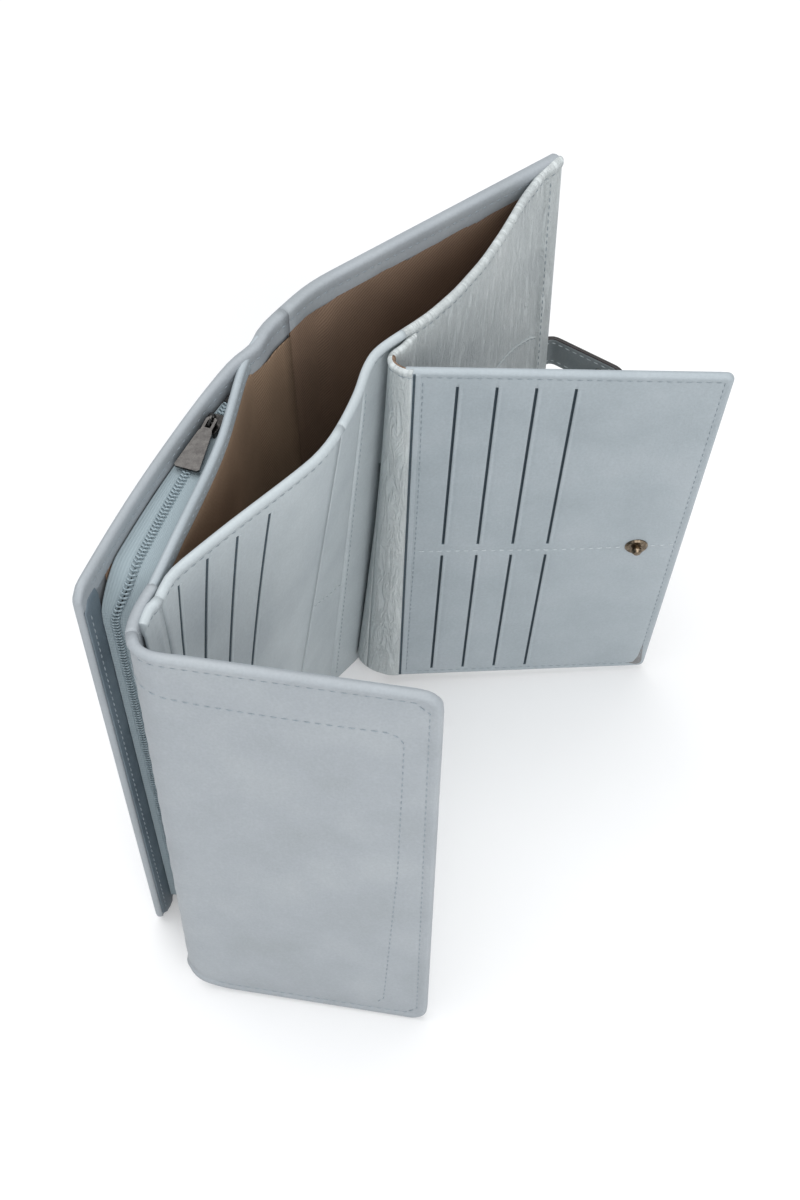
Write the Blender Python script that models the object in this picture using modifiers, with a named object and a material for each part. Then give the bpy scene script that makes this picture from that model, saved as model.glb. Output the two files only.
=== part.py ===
# Travel wallet, standing half open on its short edges.
#
# The cover is three upright boards: right half, spine and left leaf. A front wall closes a bill
# compartment in front of them and gapes at the top, so each of its two panels folds along a slanted
# crease. A card page turns on the right panel, a plain flap turns on the left edge, a zip pocket
# lies between the left leaf and the inner leaf, and a snap tab holds the card page shut.
# Metres, +Z up, +X to the right, +Y away from the opening. The origin is under the middle.

import math

import bmesh
import bpy
from mathutils import Matrix, Vector

# Cover
cover_height = 0.190
half_width = 0.1004
spine_width = 0.0265
leaf_width = 0.107
cover_leather = 0.0016
leaf_bow = 0.0030

# Cloth, leather and clearances shared by the plies
lining_cloth = 0.0006
ply_gap = 0.0003
thin_leather = 0.0012
facing_height = 0.0085
hem = 0.0015

# Plan of the standing pose: headings in degrees from +X, seen from above
side_seam = Vector((0.04852, 0.10508, 0.0))
half_heading = -142.7
spine_heading = -127.0
leaf_heading = -114.9
inner_leaf_heading = -105.9
front_right_heading = -123.9
front_left_heading = 49.2
page_heading = 0.4
page_dip = 2.25
flap_heading = -10.1
flap_dip = 1.0

# Front wall of the bill compartment
front_height = 0.1875
front_right_width = 0.0975
front_right_lean = 0.018
front_right_slant = 0.0072
front_right_bow = 0.0040
front_left_width = 0.078
front_left_crease = 0.076
crease_clearance = 0.0008
strip_bulge = 0.0037
strip_bottom_bulge = 0.0070
strip_skew = 2.1
strip_steps = 10

# Inner leaf of the zip pocket
inner_leaf_start = 0.0035
inner_leaf_rise = 0.0015
inner_leaf_width = 0.0935
inner_leaf_leather = 0.0012

# Card page
page_width = 0.0992
page_height = 0.180
page_top = 0.1850
page_lean = 0.0177
page_leather = 0.0010
page_back_leather = 0.0010
pocket_stack = 0.0008
page_seam = Vector((-0.00438, 0.01238, 0.0))
page_pocket_width = 0.0660
page_corner = 0.0025

# Card slots, the same on the page and on the front left panel
card_slot_first = 0.0160
card_slot_pitch = 0.0120
card_slot_count = 4
card_slot_length = 0.0855
card_slot_gap = 0.0007
slot_end_clear = 0.0024
card_slot_top_margin = 0.0045
row_pitch = 0.0895

# Left flap
flap_width = 0.0748
flap_top = 0.1889
flap_lean = 0.0056
flap_corner = 0.006
flap_low_corner = 0.011
flap_leather = 0.0012
flap_board = 0.0008
flap_back_leather = 0.0010
flap_start = Vector((-0.06970, -0.09388, 0.0))

# Spines of the page and the flap: the leather loops that they turn on
loop_leather = 0.0010
page_turn_reach = 0.0016
page_turn_depth = 0.0072
page_fold_reach = 0.0020
page_fold_depth = 0.0030
page_loop_start_pull = 0.0062
page_loop_end_pull = 0.0068
page_loop_foot_start_pull = 0.0150
page_loop_foot_end_pull = 0.0120
page_loop_foot_turn = -20.0
page_loop_foot_stand = 0.0010
loop_steps = 10
floor_clearance = 0.0004
flap_fold_reach = 0.0059
flap_fold_depth = 0.0040
flap_loop_start_pull = 0.0140
flap_loop_end_pull = 0.0080
flap_loop_foot_start_pull = 0.0200
flap_loop_foot_end_pull = 0.0110

# Zip, its stations counted along the inner leaf from its root
zip_level = 0.1830
zip_start = 0.0200
zip_side_run = 0.0915
zip_corner_radius = 0.0100
zip_foot = 0.0080
zip_tape = 0.0006
zip_coil_radius = 0.0010
zip_coil_knots = 12
zip_stop = 0.0024
pocket_lining_start = 0.0100
leaf_edge_facing = 0.0110
slider_station = 0.0300
slider_length = 0.0076
slider_width = 0.0052
slider_height = 0.0022
slider_wall = 0.0006
slider_rear_share = 0.86
slider_travel = 0.0460
bail_half_length = 0.0022
bail_height = 0.0025
bail_wire = 0.0004
pull_axis_lift = 0.0011
pull_length = 0.0190
pull_width = 0.0078
pull_ring_width = 0.0034
pull_ring_length = 0.0042
pull_window_width = 0.0018
pull_window_length = 0.0034
pull_sheet = 0.0008
pull_droop = 4.0
pull_bar_share = 0.18
pull_neck_shares = (1.20, 1.25)
slider_bevel_share = 0.25

# Snap fastener
stud_height_on_page = 0.0872
stud_edge_margin = 0.0161
stud_base_radius = 0.0040
stud_base_height = 0.0010
stud_post_radius = 0.0014
stud_ball_radius = 0.0019
stud_rise = 0.0036
stud_crown_shares = (0.60, 0.12)
stud_ball_drop_share = 0.60
stud_under_shares = (0.92, 0.95)
stud_neck_share = 1.30
stud_shoulder_shares = (0.85, 0.90)
stud_edge_share = 0.40
shank_radius = 0.0011
rivet_radius = 0.0034
rivet_height = 0.0008
rivet_top_share = 0.70
rivet_edge_share = 0.40
socket_radius = 0.0047
socket_height = 0.0021
socket_bore = 0.0024
cap_radius = 0.0052
cap_height = 0.0016
socket_floor_share = 0.25
socket_mouth_shares = (1.15, 0.90)
socket_rim_shares = (0.70, 0.92, 0.70)
socket_edge_share = 0.30
cap_crown_shares = (0.60, 0.90)
cap_shoulder_shares = (0.90, 0.55)

# Closure tab, leaving the outer face of the right board at its side edge
tab_middle = 0.0950
tab_width = 0.0145
tab_leather = 0.0009
tab_root_length = 0.0075
tab_hinge_gap = 0.0008
tab_straight = 0.0022
tab_bend_radius = 0.0040
tab_bend = 74.0
tab_reach = 0.0335
tab_socket_reach = 0.0205
tab_bend_steps = 5
tab_end_steps = 6

round_steps = 24
small_round_steps = 16
bail_steps = 8
merge_reach = 0.00001
blunt_share = 0.03

part_collection = bpy.data.collections.new("travel_wallet")
cutter_collection = bpy.data.collections.new("cutters")

leathers = {
    "cover_leather_blue_grey": ((0.40, 0.44, 0.47), 0.55, 0.0),
    "panel_leather_grey": ((0.42, 0.45, 0.47), 0.58, 0.0),
    "facing_leather_slate": ((0.09, 0.13, 0.16), 0.60, 0.0),
    "twill_brown": ((0.13, 0.085, 0.055), 0.90, 0.0),
    "zip_tape_blue": ((0.36, 0.50, 0.56), 0.85, 0.0),
    "zip_coil_blue": ((0.28, 0.42, 0.50), 0.45, 0.0),
    "gunmetal": ((0.10, 0.095, 0.09), 0.30, 1.0),
    "antique_bronze": ((0.22, 0.17, 0.12), 0.35, 1.0),
    "board_grey": ((0.30, 0.30, 0.30), 0.90, 0.0),
    "edge_paint_dark": ((0.05, 0.04, 0.04), 0.40, 0.0),
}


def clear_scene():
    for found in list(bpy.data.objects):
        bpy.data.objects.remove(found, do_unlink=True)
    bpy.context.scene.collection.children.link(part_collection)
    bpy.context.scene.collection.children.link(cutter_collection)
    cutter_collection.hide_render = True


def material(name):
    found = bpy.data.materials.get(name)
    if found:
        return found
    colour, roughness, metallic = leathers[name]
    made = bpy.data.materials.new(name)
    made.use_nodes = True
    shader = made.node_tree.nodes["Principled BSDF"]
    shader.inputs["Base Color"].default_value = (*colour, 1.0)
    shader.inputs["Roughness"].default_value = roughness
    shader.inputs["Metallic"].default_value = metallic
    made.diffuse_color = (*colour, 1.0)
    return made


def heading(degrees):
    return Vector((math.cos(math.radians(degrees)), math.sin(math.radians(degrees)), 0.0))


def right_of(way):
    return Vector((way.y, -way.x, 0.0))


def at_height(point, z):
    return Vector((point.x, point.y, z))


def crossing(first, first_way, second, second_way):
    """Distance along the first plan line to where it meets the second."""
    gap = second - first
    turn = first_way.x * second_way.y - first_way.y * second_way.x
    return (gap.x * second_way.y - gap.y * second_way.x) / turn


class Plane:
    """A flat ply's own frame: along its top edge, down its slope, and out to its front."""

    def __init__(self, corner, along, down):
        self.corner = corner
        self.along = along.normalized()
        self.down = (down - self.along * down.dot(self.along)).normalized()
        self.front = self.along.cross(self.down).normalized()

    def place(self, across, deep, out=0.0):
        return self.corner + self.along * across + self.down * deep + self.front * out

    def matrix(self, out=0.0):
        base = self.corner + self.front * out
        turned = Matrix((self.along, self.down, self.front)).transposed().to_4x4()
        turned.translation = base
        return turned


# Plan points that the boards and panels share
half_way = heading(half_heading)
spine_way = heading(spine_heading)
leaf_way = heading(leaf_heading)
inner_leaf_way = heading(inner_leaf_heading)
fold_right = side_seam + half_way * half_width
fold_left = fold_right + spine_way * spine_width
inner_leaf_root = fold_left + leaf_way * inner_leaf_start - right_of(leaf_way) * inner_leaf_rise
inner_leaf_edge = inner_leaf_root + inner_leaf_way * inner_leaf_width

# Body name to the empty that stands on its joint axis
body_empties = {}


def body(name, point, axis, parent=None):
    """An empty on a joint's axis, its local Z along the axis; the body's pieces hang from it."""
    empty = bpy.data.objects.new("axis_" + name, None)
    part_collection.objects.link(empty)
    empty.empty_display_size = hem
    empty.matrix_world = Matrix.Translation(point) @ axis.to_track_quat("Z", "Y").to_matrix().to_4x4()
    bpy.context.view_layer.update()
    if parent:
        hang(empty, parent)
    body_empties[name] = empty
    return empty


def hang(obj, body_name):
    holder = body_empties.get(body_name)
    if holder is None:
        return
    kept = obj.matrix_world.copy()
    obj.parent = holder
    obj.matrix_parent_inverse = holder.matrix_world.inverted()
    obj.matrix_world = kept
    bpy.context.view_layer.update()


def add(name, data, body_name, finish, matrix=None):
    obj = bpy.data.objects.new(name, data)
    part_collection.objects.link(obj)
    if matrix is not None:
        obj.matrix_world = matrix
    bpy.context.view_layer.update()
    data.materials.append(material(finish))
    hang(obj, body_name)
    return obj


def mesh_from(name, points, faces, edges=()):
    mesh = bpy.data.meshes.new(name)
    mesh.from_pydata([tuple(point) for point in points], list(edges), faces)
    mesh.update()
    return mesh


def sheet(name, rows, thickness, body_name, finish):
    """An open surface through rows of points, thickened evenly to both sides by Solidify."""
    wide = len(rows[0])
    points = [point for row in rows for point in row]
    faces = []
    for r in range(len(rows) - 1):
        for c in range(wide - 1):
            first = r * wide + c
            faces.append((first, first + 1, first + wide + 1, first + wide))
    obj = add(name, mesh_from(name, points, faces), body_name, finish)
    shell = obj.modifiers.new("thickness", "SOLIDIFY")
    shell.thickness = thickness
    shell.offset = 0.0
    shell.use_even_offset = True
    return obj


def flat_ply(name, outlines, thickness, matrix, body_name, finish):
    """A flat ply cut to an outline, with its holes, as a filled 2D curve of half its thickness."""
    curve = bpy.data.curves.new(name, "CURVE")
    curve.dimensions = "2D"
    curve.fill_mode = "BOTH"
    curve.extrude = thickness / 2
    for outline in outlines:
        spline = curve.splines.new("POLY")
        spline.points.add(len(outline) - 1)
        for knot, (x, y) in zip(spline.points, outline):
            knot.co = (x, y, 0.0, 1.0)
        spline.use_cyclic_u = True
    return add(name, curve, body_name, finish, matrix)


def corner_arc(centre, radius, start, end, steps=5):
    angles = [start + (end - start) * i / steps for i in range(steps + 1)]
    return [(centre[0] + radius * math.cos(math.radians(a)), centre[1] + radius * math.sin(math.radians(a)))
            for a in angles]


def circle(x, y, radius, steps=small_round_steps):
    return [(x + radius * math.cos(math.tau * i / steps), y + radius * math.sin(math.tau * i / steps))
            for i in range(steps)]


def rounded_box(left, right, top, bottom, radii):
    """Outline of a box with corner radii: left top, right top, right bottom, left bottom."""
    lt, rt, rb, lb = radii
    points = corner_arc((left + lt, top + lt), lt, 180, 270)
    points += corner_arc((right - rt, top + rt), rt, 270, 360)
    points += corner_arc((right - rb, bottom - rb), rb, 0, 90)
    points += corner_arc((left + lb, bottom - lb), lb, 90, 180)
    return points


def slot(across, top, bottom):
    half = card_slot_gap / 2
    return [(across - half, top), (across + half, top), (across + half, bottom), (across - half, bottom)]


def turned(name, profile, matrix, body_name, finish, steps=round_steps):
    """A profile of (radius, height), run down its outer side, swept about its own Z by Screw."""
    points = [(radius, 0.0, height) for radius, height in profile]
    edges = [(i, i + 1) for i in range(len(points) - 1)]
    obj = add(name, mesh_from(name, points, [], edges), body_name, finish, matrix)
    screw = obj.modifiers.new("turned", "SCREW")
    screw.axis = "Z"
    screw.steps = steps
    screw.render_steps = steps
    screw.use_merge_vertices = True
    screw.merge_threshold = merge_reach
    return obj


def board(name, start, way, first, last, out, thickness, low, high, body_name, finish, bow=0.0,
          bow_length=1.0):
    """An upright board along a plan line; out is its inner face's distance from that line."""
    outer = right_of(way)
    columns = 9 if bow else 2
    rows = []
    for z in (low, high):
        row = []
        for c in range(columns):
            along = first + (last - first) * c / (columns - 1)
            swell = bow * math.sin(math.pi * along / bow_length)
            row.append(at_height(start + way * along + outer * (out + thickness / 2 + swell), z))
        rows.append(row)
    return sheet(name, rows, thickness, body_name, finish)


def cover_boards():
    """Leather boards with their twill lining and the leather facing above it."""
    places = (
        ("right", side_seam, half_way, half_width, None),
        ("spine", fold_right, spine_way, spine_width, "spine"),
    )
    inner = lining_cloth + ply_gap
    for word, start, way, width, body_name in places:
        first, last = ply_gap, width - ply_gap
        board("outer_cover_" + word, start, way, first, last, inner, cover_leather, 0.0, cover_height,
              body_name, "cover_leather_blue_grey")
        board("twill_lining_" + word, start, way, first, last, 0.0, lining_cloth, hem,
              cover_height - facing_height, body_name, "twill_brown")
        board("top_facing_" + word, start, way, first, last, 0.0, lining_cloth,
              cover_height - facing_height + ply_gap, cover_height - ply_gap, body_name,
              "cover_leather_blue_grey")


def left_leaf():
    """Bowed outer leaf of the zip pocket, its cloth lining and its leather facings."""
    inner = lining_cloth + ply_gap
    board("outer_cover_left", fold_left, leaf_way, ply_gap, leaf_width, inner, cover_leather, 0.0,
          cover_height, "left_half", "cover_leather_blue_grey", leaf_bow, leaf_width)
    top = cover_height - facing_height
    side = leaf_width - leaf_edge_facing
    board("pocket_lining", fold_left, leaf_way, pocket_lining_start, side - ply_gap, 0.0, lining_cloth, hem,
          top - ply_gap, "left_half", "twill_brown", leaf_bow, leaf_width)
    board("leaf_top_facing", fold_left, leaf_way, pocket_lining_start, leaf_width - ply_gap, 0.0,
          lining_cloth, top, cover_height - ply_gap, "left_half", "cover_leather_blue_grey", leaf_bow,
          leaf_width)
    board("leaf_edge_facing", fold_left, leaf_way, side, leaf_width - ply_gap, 0.0, lining_cloth, ply_gap,
          top - ply_gap, "left_half", "facing_leather_slate", leaf_bow, leaf_width)


def pocket_walls(station):
    """Plan points on the two walls of the zip pocket at one station along it."""
    share = (station + inner_leaf_start) / leaf_width
    swell = leaf_bow * math.sin(math.pi * share)
    outer = fold_left + leaf_way * (station + inner_leaf_start) + right_of(leaf_way) * swell
    zip_side = ply_gap + lining_cloth + inner_leaf_leather
    inner = inner_leaf_root + inner_leaf_way * station + right_of(inner_leaf_way) * zip_side
    return outer, inner


def pocket_middle(station):
    outer, inner = pocket_walls(station)
    return (outer + inner) / 2


def right_panel_plane():
    along = heading(front_right_heading)
    corner = at_height(side_seam - right_of(half_way) * ply_gap, front_height)
    front = -right_of(along)
    down = Vector((0.0, 0.0, -front_height)) - front * front_right_lean
    return Plane(corner, along, down)


def right_crease():
    """Ends of the slanted crease: the seam's top, and where the panel's foot meets the cover."""
    plane = right_panel_plane()
    foot = at_height(plane.corner, 0.0) + right_of(plane.along) * front_right_lean
    across = crossing(foot, plane.along, at_height(plane.corner, 0.0), half_way)
    return plane.corner, foot + plane.along * across, across


def front_right_wall():
    plane = right_panel_plane()
    foot_across = right_crease()[2]
    deep = math.hypot(front_height, front_right_lean) - floor_clearance
    front = plane.front if plane.front.dot(-right_of(plane.along)) > 0 else -plane.front
    plies = (
        ("front_right_lining", ply_gap, lining_cloth, "twill_brown", hem),
        ("front_right_panel", ply_gap + lining_cloth + ply_gap, thin_leather, "panel_leather_grey", 0.0),
    )
    row_count, columns = 5, 9
    for name, out, thickness, finish, margin in plies:
        rows = []
        for r in range(row_count):
            share = r / (row_count - 1)
            depth = margin + (deep - margin) * share
            first = foot_across * depth / deep + crease_clearance
            last = front_right_width - front_right_slant * share
            row = []
            for c in range(columns):
                part = c / (columns - 1)
                swell = front_right_bow * math.sin(math.pi * part) * (1.0 - share)
                across = first + (last - first) * part
                row.append(plane.place(across, depth) + front * (out + thickness / 2 + swell))
            rows.append(row)
        sheet(name, rows, thickness, "front_right", finish)


def front_right_corner():
    """The lower triangle of the panel, sewn flat against the cover below the crease."""
    top, foot = right_crease()[:2]
    out = ply_gap + ply_gap
    thickness = lining_cloth + ply_gap + thin_leather
    corner = at_height(side_seam - right_of(half_way) * (out + thickness / 2), 0.0)
    reach = (foot - at_height(top, 0.0)).length
    matrix = Matrix((half_way, Vector((0.0, 0.0, 1.0)), half_way.cross(Vector((0.0, 0.0, 1.0))))).transposed()
    matrix = matrix.to_4x4()
    matrix.translation = corner
    slope = front_height / reach
    side = ply_gap
    clear = crease_clearance
    outline = [(side, 0.0), (reach - clear, 0.0), (side, (reach - clear - side) * slope)]
    flat_ply("front_right_corner", [outline], thickness, matrix, None, "panel_leather_grey")


def left_panel_plane():
    along = heading(front_left_heading)
    corner = at_height(inner_leaf_edge - right_of(inner_leaf_way) * ply_gap, front_height)
    foot = at_height(corner - inner_leaf_way * front_left_crease, 0.0)
    return Plane(corner, along, foot - corner), foot


def front_left_wall():
    plane, foot = left_panel_plane()
    front = plane.front if plane.front.dot(right_of(plane.along)) > 0 else -plane.front
    side = 1.0 if front.dot(plane.front) > 0 else -1.0
    foot_across = (foot - plane.corner).dot(plane.along)
    foot_deep = (foot - plane.corner).dot(plane.down)
    plies = (
        ("front_left_lining", ply_gap, lining_cloth, "twill_brown", hem),
        ("front_left_panel", ply_gap + lining_cloth + ply_gap, thin_leather, "panel_leather_grey", 0.0),
    )
    for name, out, thickness, finish, margin in plies:
        clear = crease_clearance
        blunt = (foot_deep - margin) * (1.0 - blunt_share)
        outline = [
            (foot_across * margin / foot_deep + clear, margin),
            (front_left_width, margin),
            (front_left_width + (foot_across - front_left_width) * blunt / foot_deep, blunt),
            (foot_across * blunt / foot_deep + clear, blunt),
        ]
        outlines = [outline]
        if name == "front_left_panel":
            for i in range(card_slot_count):
                across = card_slot_first + card_slot_pitch * i
                crease_deep = foot_deep * (across - clear) / foot_across
                bottom = min(card_slot_top_margin + card_slot_length, crease_deep - slot_end_clear)
                outlines.append(slot(across, card_slot_top_margin, bottom))
        flat_ply(name, outlines, thickness, plane.matrix(side * (out + thickness / 2)), "front_left", finish)


def front_left_corner():
    """The lower triangle of the left panel, sewn flat against the inner leaf."""
    out = ply_gap + ply_gap
    thickness = lining_cloth + ply_gap + thin_leather
    way = -inner_leaf_way
    up = Vector((0.0, 0.0, 1.0))
    matrix = Matrix((way, up, way.cross(up))).transposed().to_4x4()
    matrix.translation = at_height(inner_leaf_edge - right_of(inner_leaf_way) * (out + thickness / 2), 0.0)
    clear = crease_clearance
    reach = front_left_crease
    slope = front_height / reach
    outline = [(ply_gap, 0.0), (reach - clear, 0.0), (ply_gap, (reach - clear - ply_gap) * slope)]
    outlines = [outline]
    low = front_height - card_slot_top_margin - card_slot_length
    for i in range(card_slot_count):
        across = card_slot_first + card_slot_pitch * i
        high = front_height - (across + clear) * slope - slot_end_clear
        if high > low:
            outlines.append(slot(across, low, high))
    flat_ply("front_left_corner", outlines, thickness, matrix, "left_half", "panel_leather_grey")


def centre_strip():
    """The soft S of leather between the two front panels."""
    right_plane = right_panel_plane()
    left_plane, left_foot = left_panel_plane()
    deep = math.hypot(front_height, front_right_lean) - floor_clearance
    out = ply_gap + lining_cloth + ply_gap + thin_leather / 2
    right_front = -right_of(right_plane.along)
    left_front = right_of(left_plane.along)
    gap = ply_gap + ply_gap
    top_start = left_plane.place(front_left_width + gap, 0.0) + left_front * out
    low_start = at_height(left_foot - inner_leaf_way * (gap + crease_clearance) + left_front * out,
                          floor_clearance)
    top_end = right_plane.place(front_right_width + gap, 0.0) + right_front * out
    low_end = right_plane.place(front_right_width - front_right_slant + gap, deep) + right_front * out
    rows = []
    for start, end, bulge in ((top_start, top_end, strip_bulge), (low_start, low_end, strip_bottom_bulge)):
        aside = -right_of((end - start).normalized())
        row = []
        for i in range(strip_steps + 1):
            share = i / strip_steps
            wave = math.sin(math.pi * share ** strip_skew)
            row.append(start + (end - start) * share + aside * bulge * wave)
        rows.append(row)
    sheet("centre_strip", rows, thin_leather, "front_right", "panel_leather_grey")


def inner_leaf():
    way = inner_leaf_way
    zip_side = ply_gap + lining_cloth
    board("inner_leaf", inner_leaf_root, way, 0.0, inner_leaf_width, zip_side, inner_leaf_leather, 0.0,
          front_height, "left_half", "panel_leather_grey")
    board("inner_leaf_lining", inner_leaf_root, way, 0.0, inner_leaf_width, 0.0, lining_cloth, hem,
          front_height - facing_height, "left_half", "twill_brown")
    board("inner_leaf_facing", inner_leaf_root, way, 0.0, inner_leaf_width, 0.0, lining_cloth,
          front_height - facing_height + ply_gap, front_height - ply_gap, "left_half",
          "cover_leather_blue_grey")


def page_plane():
    level = heading(page_heading)
    front = right_of(level)
    dip = math.radians(page_dip)
    along = level * math.cos(dip) + Vector((0.0, 0.0, -math.sin(dip)))
    down = Vector((0.0, 0.0, -page_height)) - front * page_lean
    return Plane(at_height(page_seam, page_top), along, down)


def page_front(plane):
    return 1.0 if plane.front.dot(right_of(plane.along)) > 0 else -1.0


def page_axes():
    """The axis that the page swings on in the hand, and the one that folds it with the wallet."""
    plane = page_plane()
    back = -page_front(plane)
    turn = plane.place(page_turn_reach, 0.0, back * page_turn_depth)
    fold = plane.place(-page_fold_reach, 0.0, back * page_fold_depth)
    return turn, fold, -plane.down


def card_page():
    plane = page_plane()
    back = -page_front(plane)
    stud_x = page_width - stud_edge_margin
    stud_y = page_height - stud_height_on_page
    hole = circle(stud_x, stud_y, shank_radius + ply_gap)
    corners = (page_corner / 2, page_corner, page_corner, page_corner / 2)
    rim = rounded_box(0.0, page_width, 0.0, page_height, corners)
    mouths = []
    for row in range(2):
        top = card_slot_top_margin + row_pitch * row
        bottom = min(top + card_slot_length, page_height - card_slot_top_margin / 2)
        for i in range(card_slot_count):
            mouths.append(slot(card_slot_first + card_slot_pitch * i, top, bottom))
    flat_ply("card_page_front", [rim, hole] + mouths, page_leather,
             plane.matrix(back * page_leather / 2), "card_page", "panel_leather_grey")
    middle = plane.matrix(back * (page_leather + ply_gap + pocket_stack / 2))
    half = page_height / 2
    upper = rounded_box(hem, page_pocket_width, hem, half - ply_gap, corners)
    lower = rounded_box(hem, page_pocket_width, half + ply_gap, page_height - hem, corners)
    stiff = rounded_box(page_pocket_width + ply_gap, page_width - hem, hem, page_height - hem, corners)
    flat_ply("card_pockets_upper", [upper], pocket_stack, middle, "card_page", "twill_brown")
    flat_ply("card_pockets_lower", [lower], pocket_stack, middle, "card_page", "twill_brown")
    flat_ply("card_page_board", [stiff, hole], pocket_stack, middle, "card_page", "board_grey")
    rear = page_leather + ply_gap + pocket_stack + ply_gap + page_back_leather / 2
    flat_ply("card_page_back", [rim, hole], page_back_leather, plane.matrix(back * rear), "card_page",
             "panel_leather_grey")
    total = page_leather + ply_gap + pocket_stack + ply_gap + page_back_leather
    snap_stud(plane, back, stud_x, stud_y, total)


def snap_stud(plane, back, x, y, page_total):
    """Snap stud: base, waisted post and ball on the page, its shank riveted behind."""
    front = plane.front * -back
    seat = plane.place(x, y) + front * ply_gap
    stand = Matrix.Translation(seat) @ front.to_track_quat("Z", "Y").to_matrix().to_4x4()
    shank_end = page_total + ply_gap + ply_gap
    ball = stud_ball_radius
    rise = stud_rise
    profile = [
        (0.0, rise),
        (ball * stud_crown_shares[0], rise - ball * stud_crown_shares[1]),
        (ball, rise - ball * stud_ball_drop_share),
        (ball * stud_under_shares[0], rise - ball * stud_under_shares[1]),
        (stud_post_radius, rise - ball * stud_neck_share),
        (stud_post_radius, stud_base_height),
        (stud_base_radius * stud_shoulder_shares[0], stud_base_height * stud_shoulder_shares[1]),
        (stud_base_radius, stud_base_height * stud_edge_share),
        (stud_base_radius, 0.0),
        (shank_radius, 0.0),
        (shank_radius, -shank_end),
        (0.0, -shank_end),
    ]
    turned("snap_stud", profile, stand, "card_page", "antique_bronze")
    behind = plane.place(x, y) - front * (page_total + ply_gap)
    lie = Matrix.Translation(behind) @ (-front).to_track_quat("Z", "Y").to_matrix().to_4x4()
    bore = shank_radius + ply_gap
    dome = [
        (bore, rivet_height),
        (rivet_radius * rivet_top_share, rivet_height),
        (rivet_radius, rivet_height * rivet_edge_share),
        (rivet_radius, 0.0),
        (bore, 0.0),
        (bore, rivet_height),
    ]
    turned("stud_rivet", dome, lie, "card_page", "antique_bronze")


def bend_through(start, start_way, end, end_way, steps):
    """Points on a smooth bend that leaves start along one way and reaches end along another."""
    knots = (start, start + start_way, end - end_way, end)
    points = []
    for i in range(steps + 1):
        t = i / steps
        r = 1.0 - t
        points.append(knots[0] * r * r * r + knots[1] * (r * r * t + r * r * t + r * r * t)
                      + knots[2] * (r * t * t + r * t * t + r * t * t) + knots[3] * t * t * t)
    return points


def page_spine():
    """The loop of leather that joins the page to the right panel, wider at its foot."""
    page = page_plane()
    back = -page_front(page)
    wall = right_panel_plane()
    wall_front = -right_of(wall.along)
    deep = math.hypot(front_height, front_right_lean)
    out = ply_gap + lining_cloth + ply_gap + thin_leather + ply_gap + ply_gap + loop_leather
    reach = ply_gap + ply_gap
    foot_way = Matrix.Rotation(math.radians(page_loop_foot_turn), 3, "Z") @ wall.along
    pulls = (
        (0.0, wall.along * page_loop_start_pull, page_loop_end_pull),
        (1.0, foot_way * page_loop_foot_start_pull, page_loop_foot_end_pull),
    )
    rows = []
    for share, start_way, end_pull in pulls:
        wall_end = front_right_width - front_right_slant * share - hem - hem * share
        stand = out + page_loop_foot_stand * share
        start = wall.place(wall_end, deep * share) + wall_front * stand
        end = page.place(-reach, page_height * share, back * loop_leather / 2)
        start = at_height(start, end.z)
        rows.append(bend_through(start, start_way, end, page.along * end_pull, loop_steps))
    sheet("page_spine_leather", rows, loop_leather, "page_hinge", "cover_leather_blue_grey")


def flap_plane():
    level = heading(flap_heading)
    dip = math.radians(flap_dip)
    along = level * math.cos(dip) + Vector((0.0, 0.0, -math.sin(dip)))
    down = Vector((0.0, 0.0, -front_height)) + right_of(level) * flap_lean
    return Plane(at_height(flap_start, flap_top), along, down)


def flap_axes():
    """The free axis on the inner leaf's edge and the one that folds the flap with the wallet."""
    free = at_height(inner_leaf_edge - right_of(inner_leaf_way) * (thin_leather + thin_leather + hem), 0.0)
    along = heading(flap_heading)
    fold = flap_start - along * flap_fold_reach + right_of(along) * -flap_fold_depth
    return free, at_height(fold, 0.0)


def left_flap():
    plane = flap_plane()
    back = -page_front(plane)
    radii = (page_corner, flap_corner, flap_corner, flap_low_corner)
    rim = rounded_box(0.0, flap_width, 0.0, front_height, radii)
    inner_rim = rounded_box(hem, flap_width - hem, hem, front_height - hem, radii)
    flat_ply("left_flap_front", [rim], flap_leather, plane.matrix(back * flap_leather / 2), "left_flap",
             "cover_leather_blue_grey")
    middle = flap_leather + ply_gap + flap_board / 2
    flat_ply("left_flap_board", [inner_rim], flap_board, plane.matrix(back * middle), "left_flap",
             "board_grey")
    rear = flap_leather + ply_gap + flap_board + ply_gap + flap_back_leather / 2
    flat_ply("left_flap_back", [rim], flap_back_leather, plane.matrix(back * rear), "left_flap",
             "panel_leather_grey")


def flap_spine():
    """The loop of leather that runs from the left panel's edge round into the flap."""
    plane = flap_plane()
    back = -page_front(plane)
    gap = ply_gap + ply_gap
    out = right_of(inner_leaf_way) * (thin_leather / 2 + ply_gap)
    start = inner_leaf_edge + inner_leaf_way * gap - out
    ends = (
        (front_height, 0.0, flap_loop_start_pull, flap_loop_end_pull),
        (0.0, front_height - flap_low_corner, flap_loop_foot_start_pull, flap_loop_foot_end_pull),
    )
    rows = []
    for height, depth, start_pull, end_pull in ends:
        end = plane.place(-gap, depth, back * flap_leather / 2)
        rows.append(bend_through(at_height(start, height), inner_leaf_way * start_pull, end,
                                 plane.along * end_pull, loop_steps))
    sheet("flap_spine_leather", rows, loop_leather, "flap_hinge", "cover_leather_blue_grey")


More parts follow.
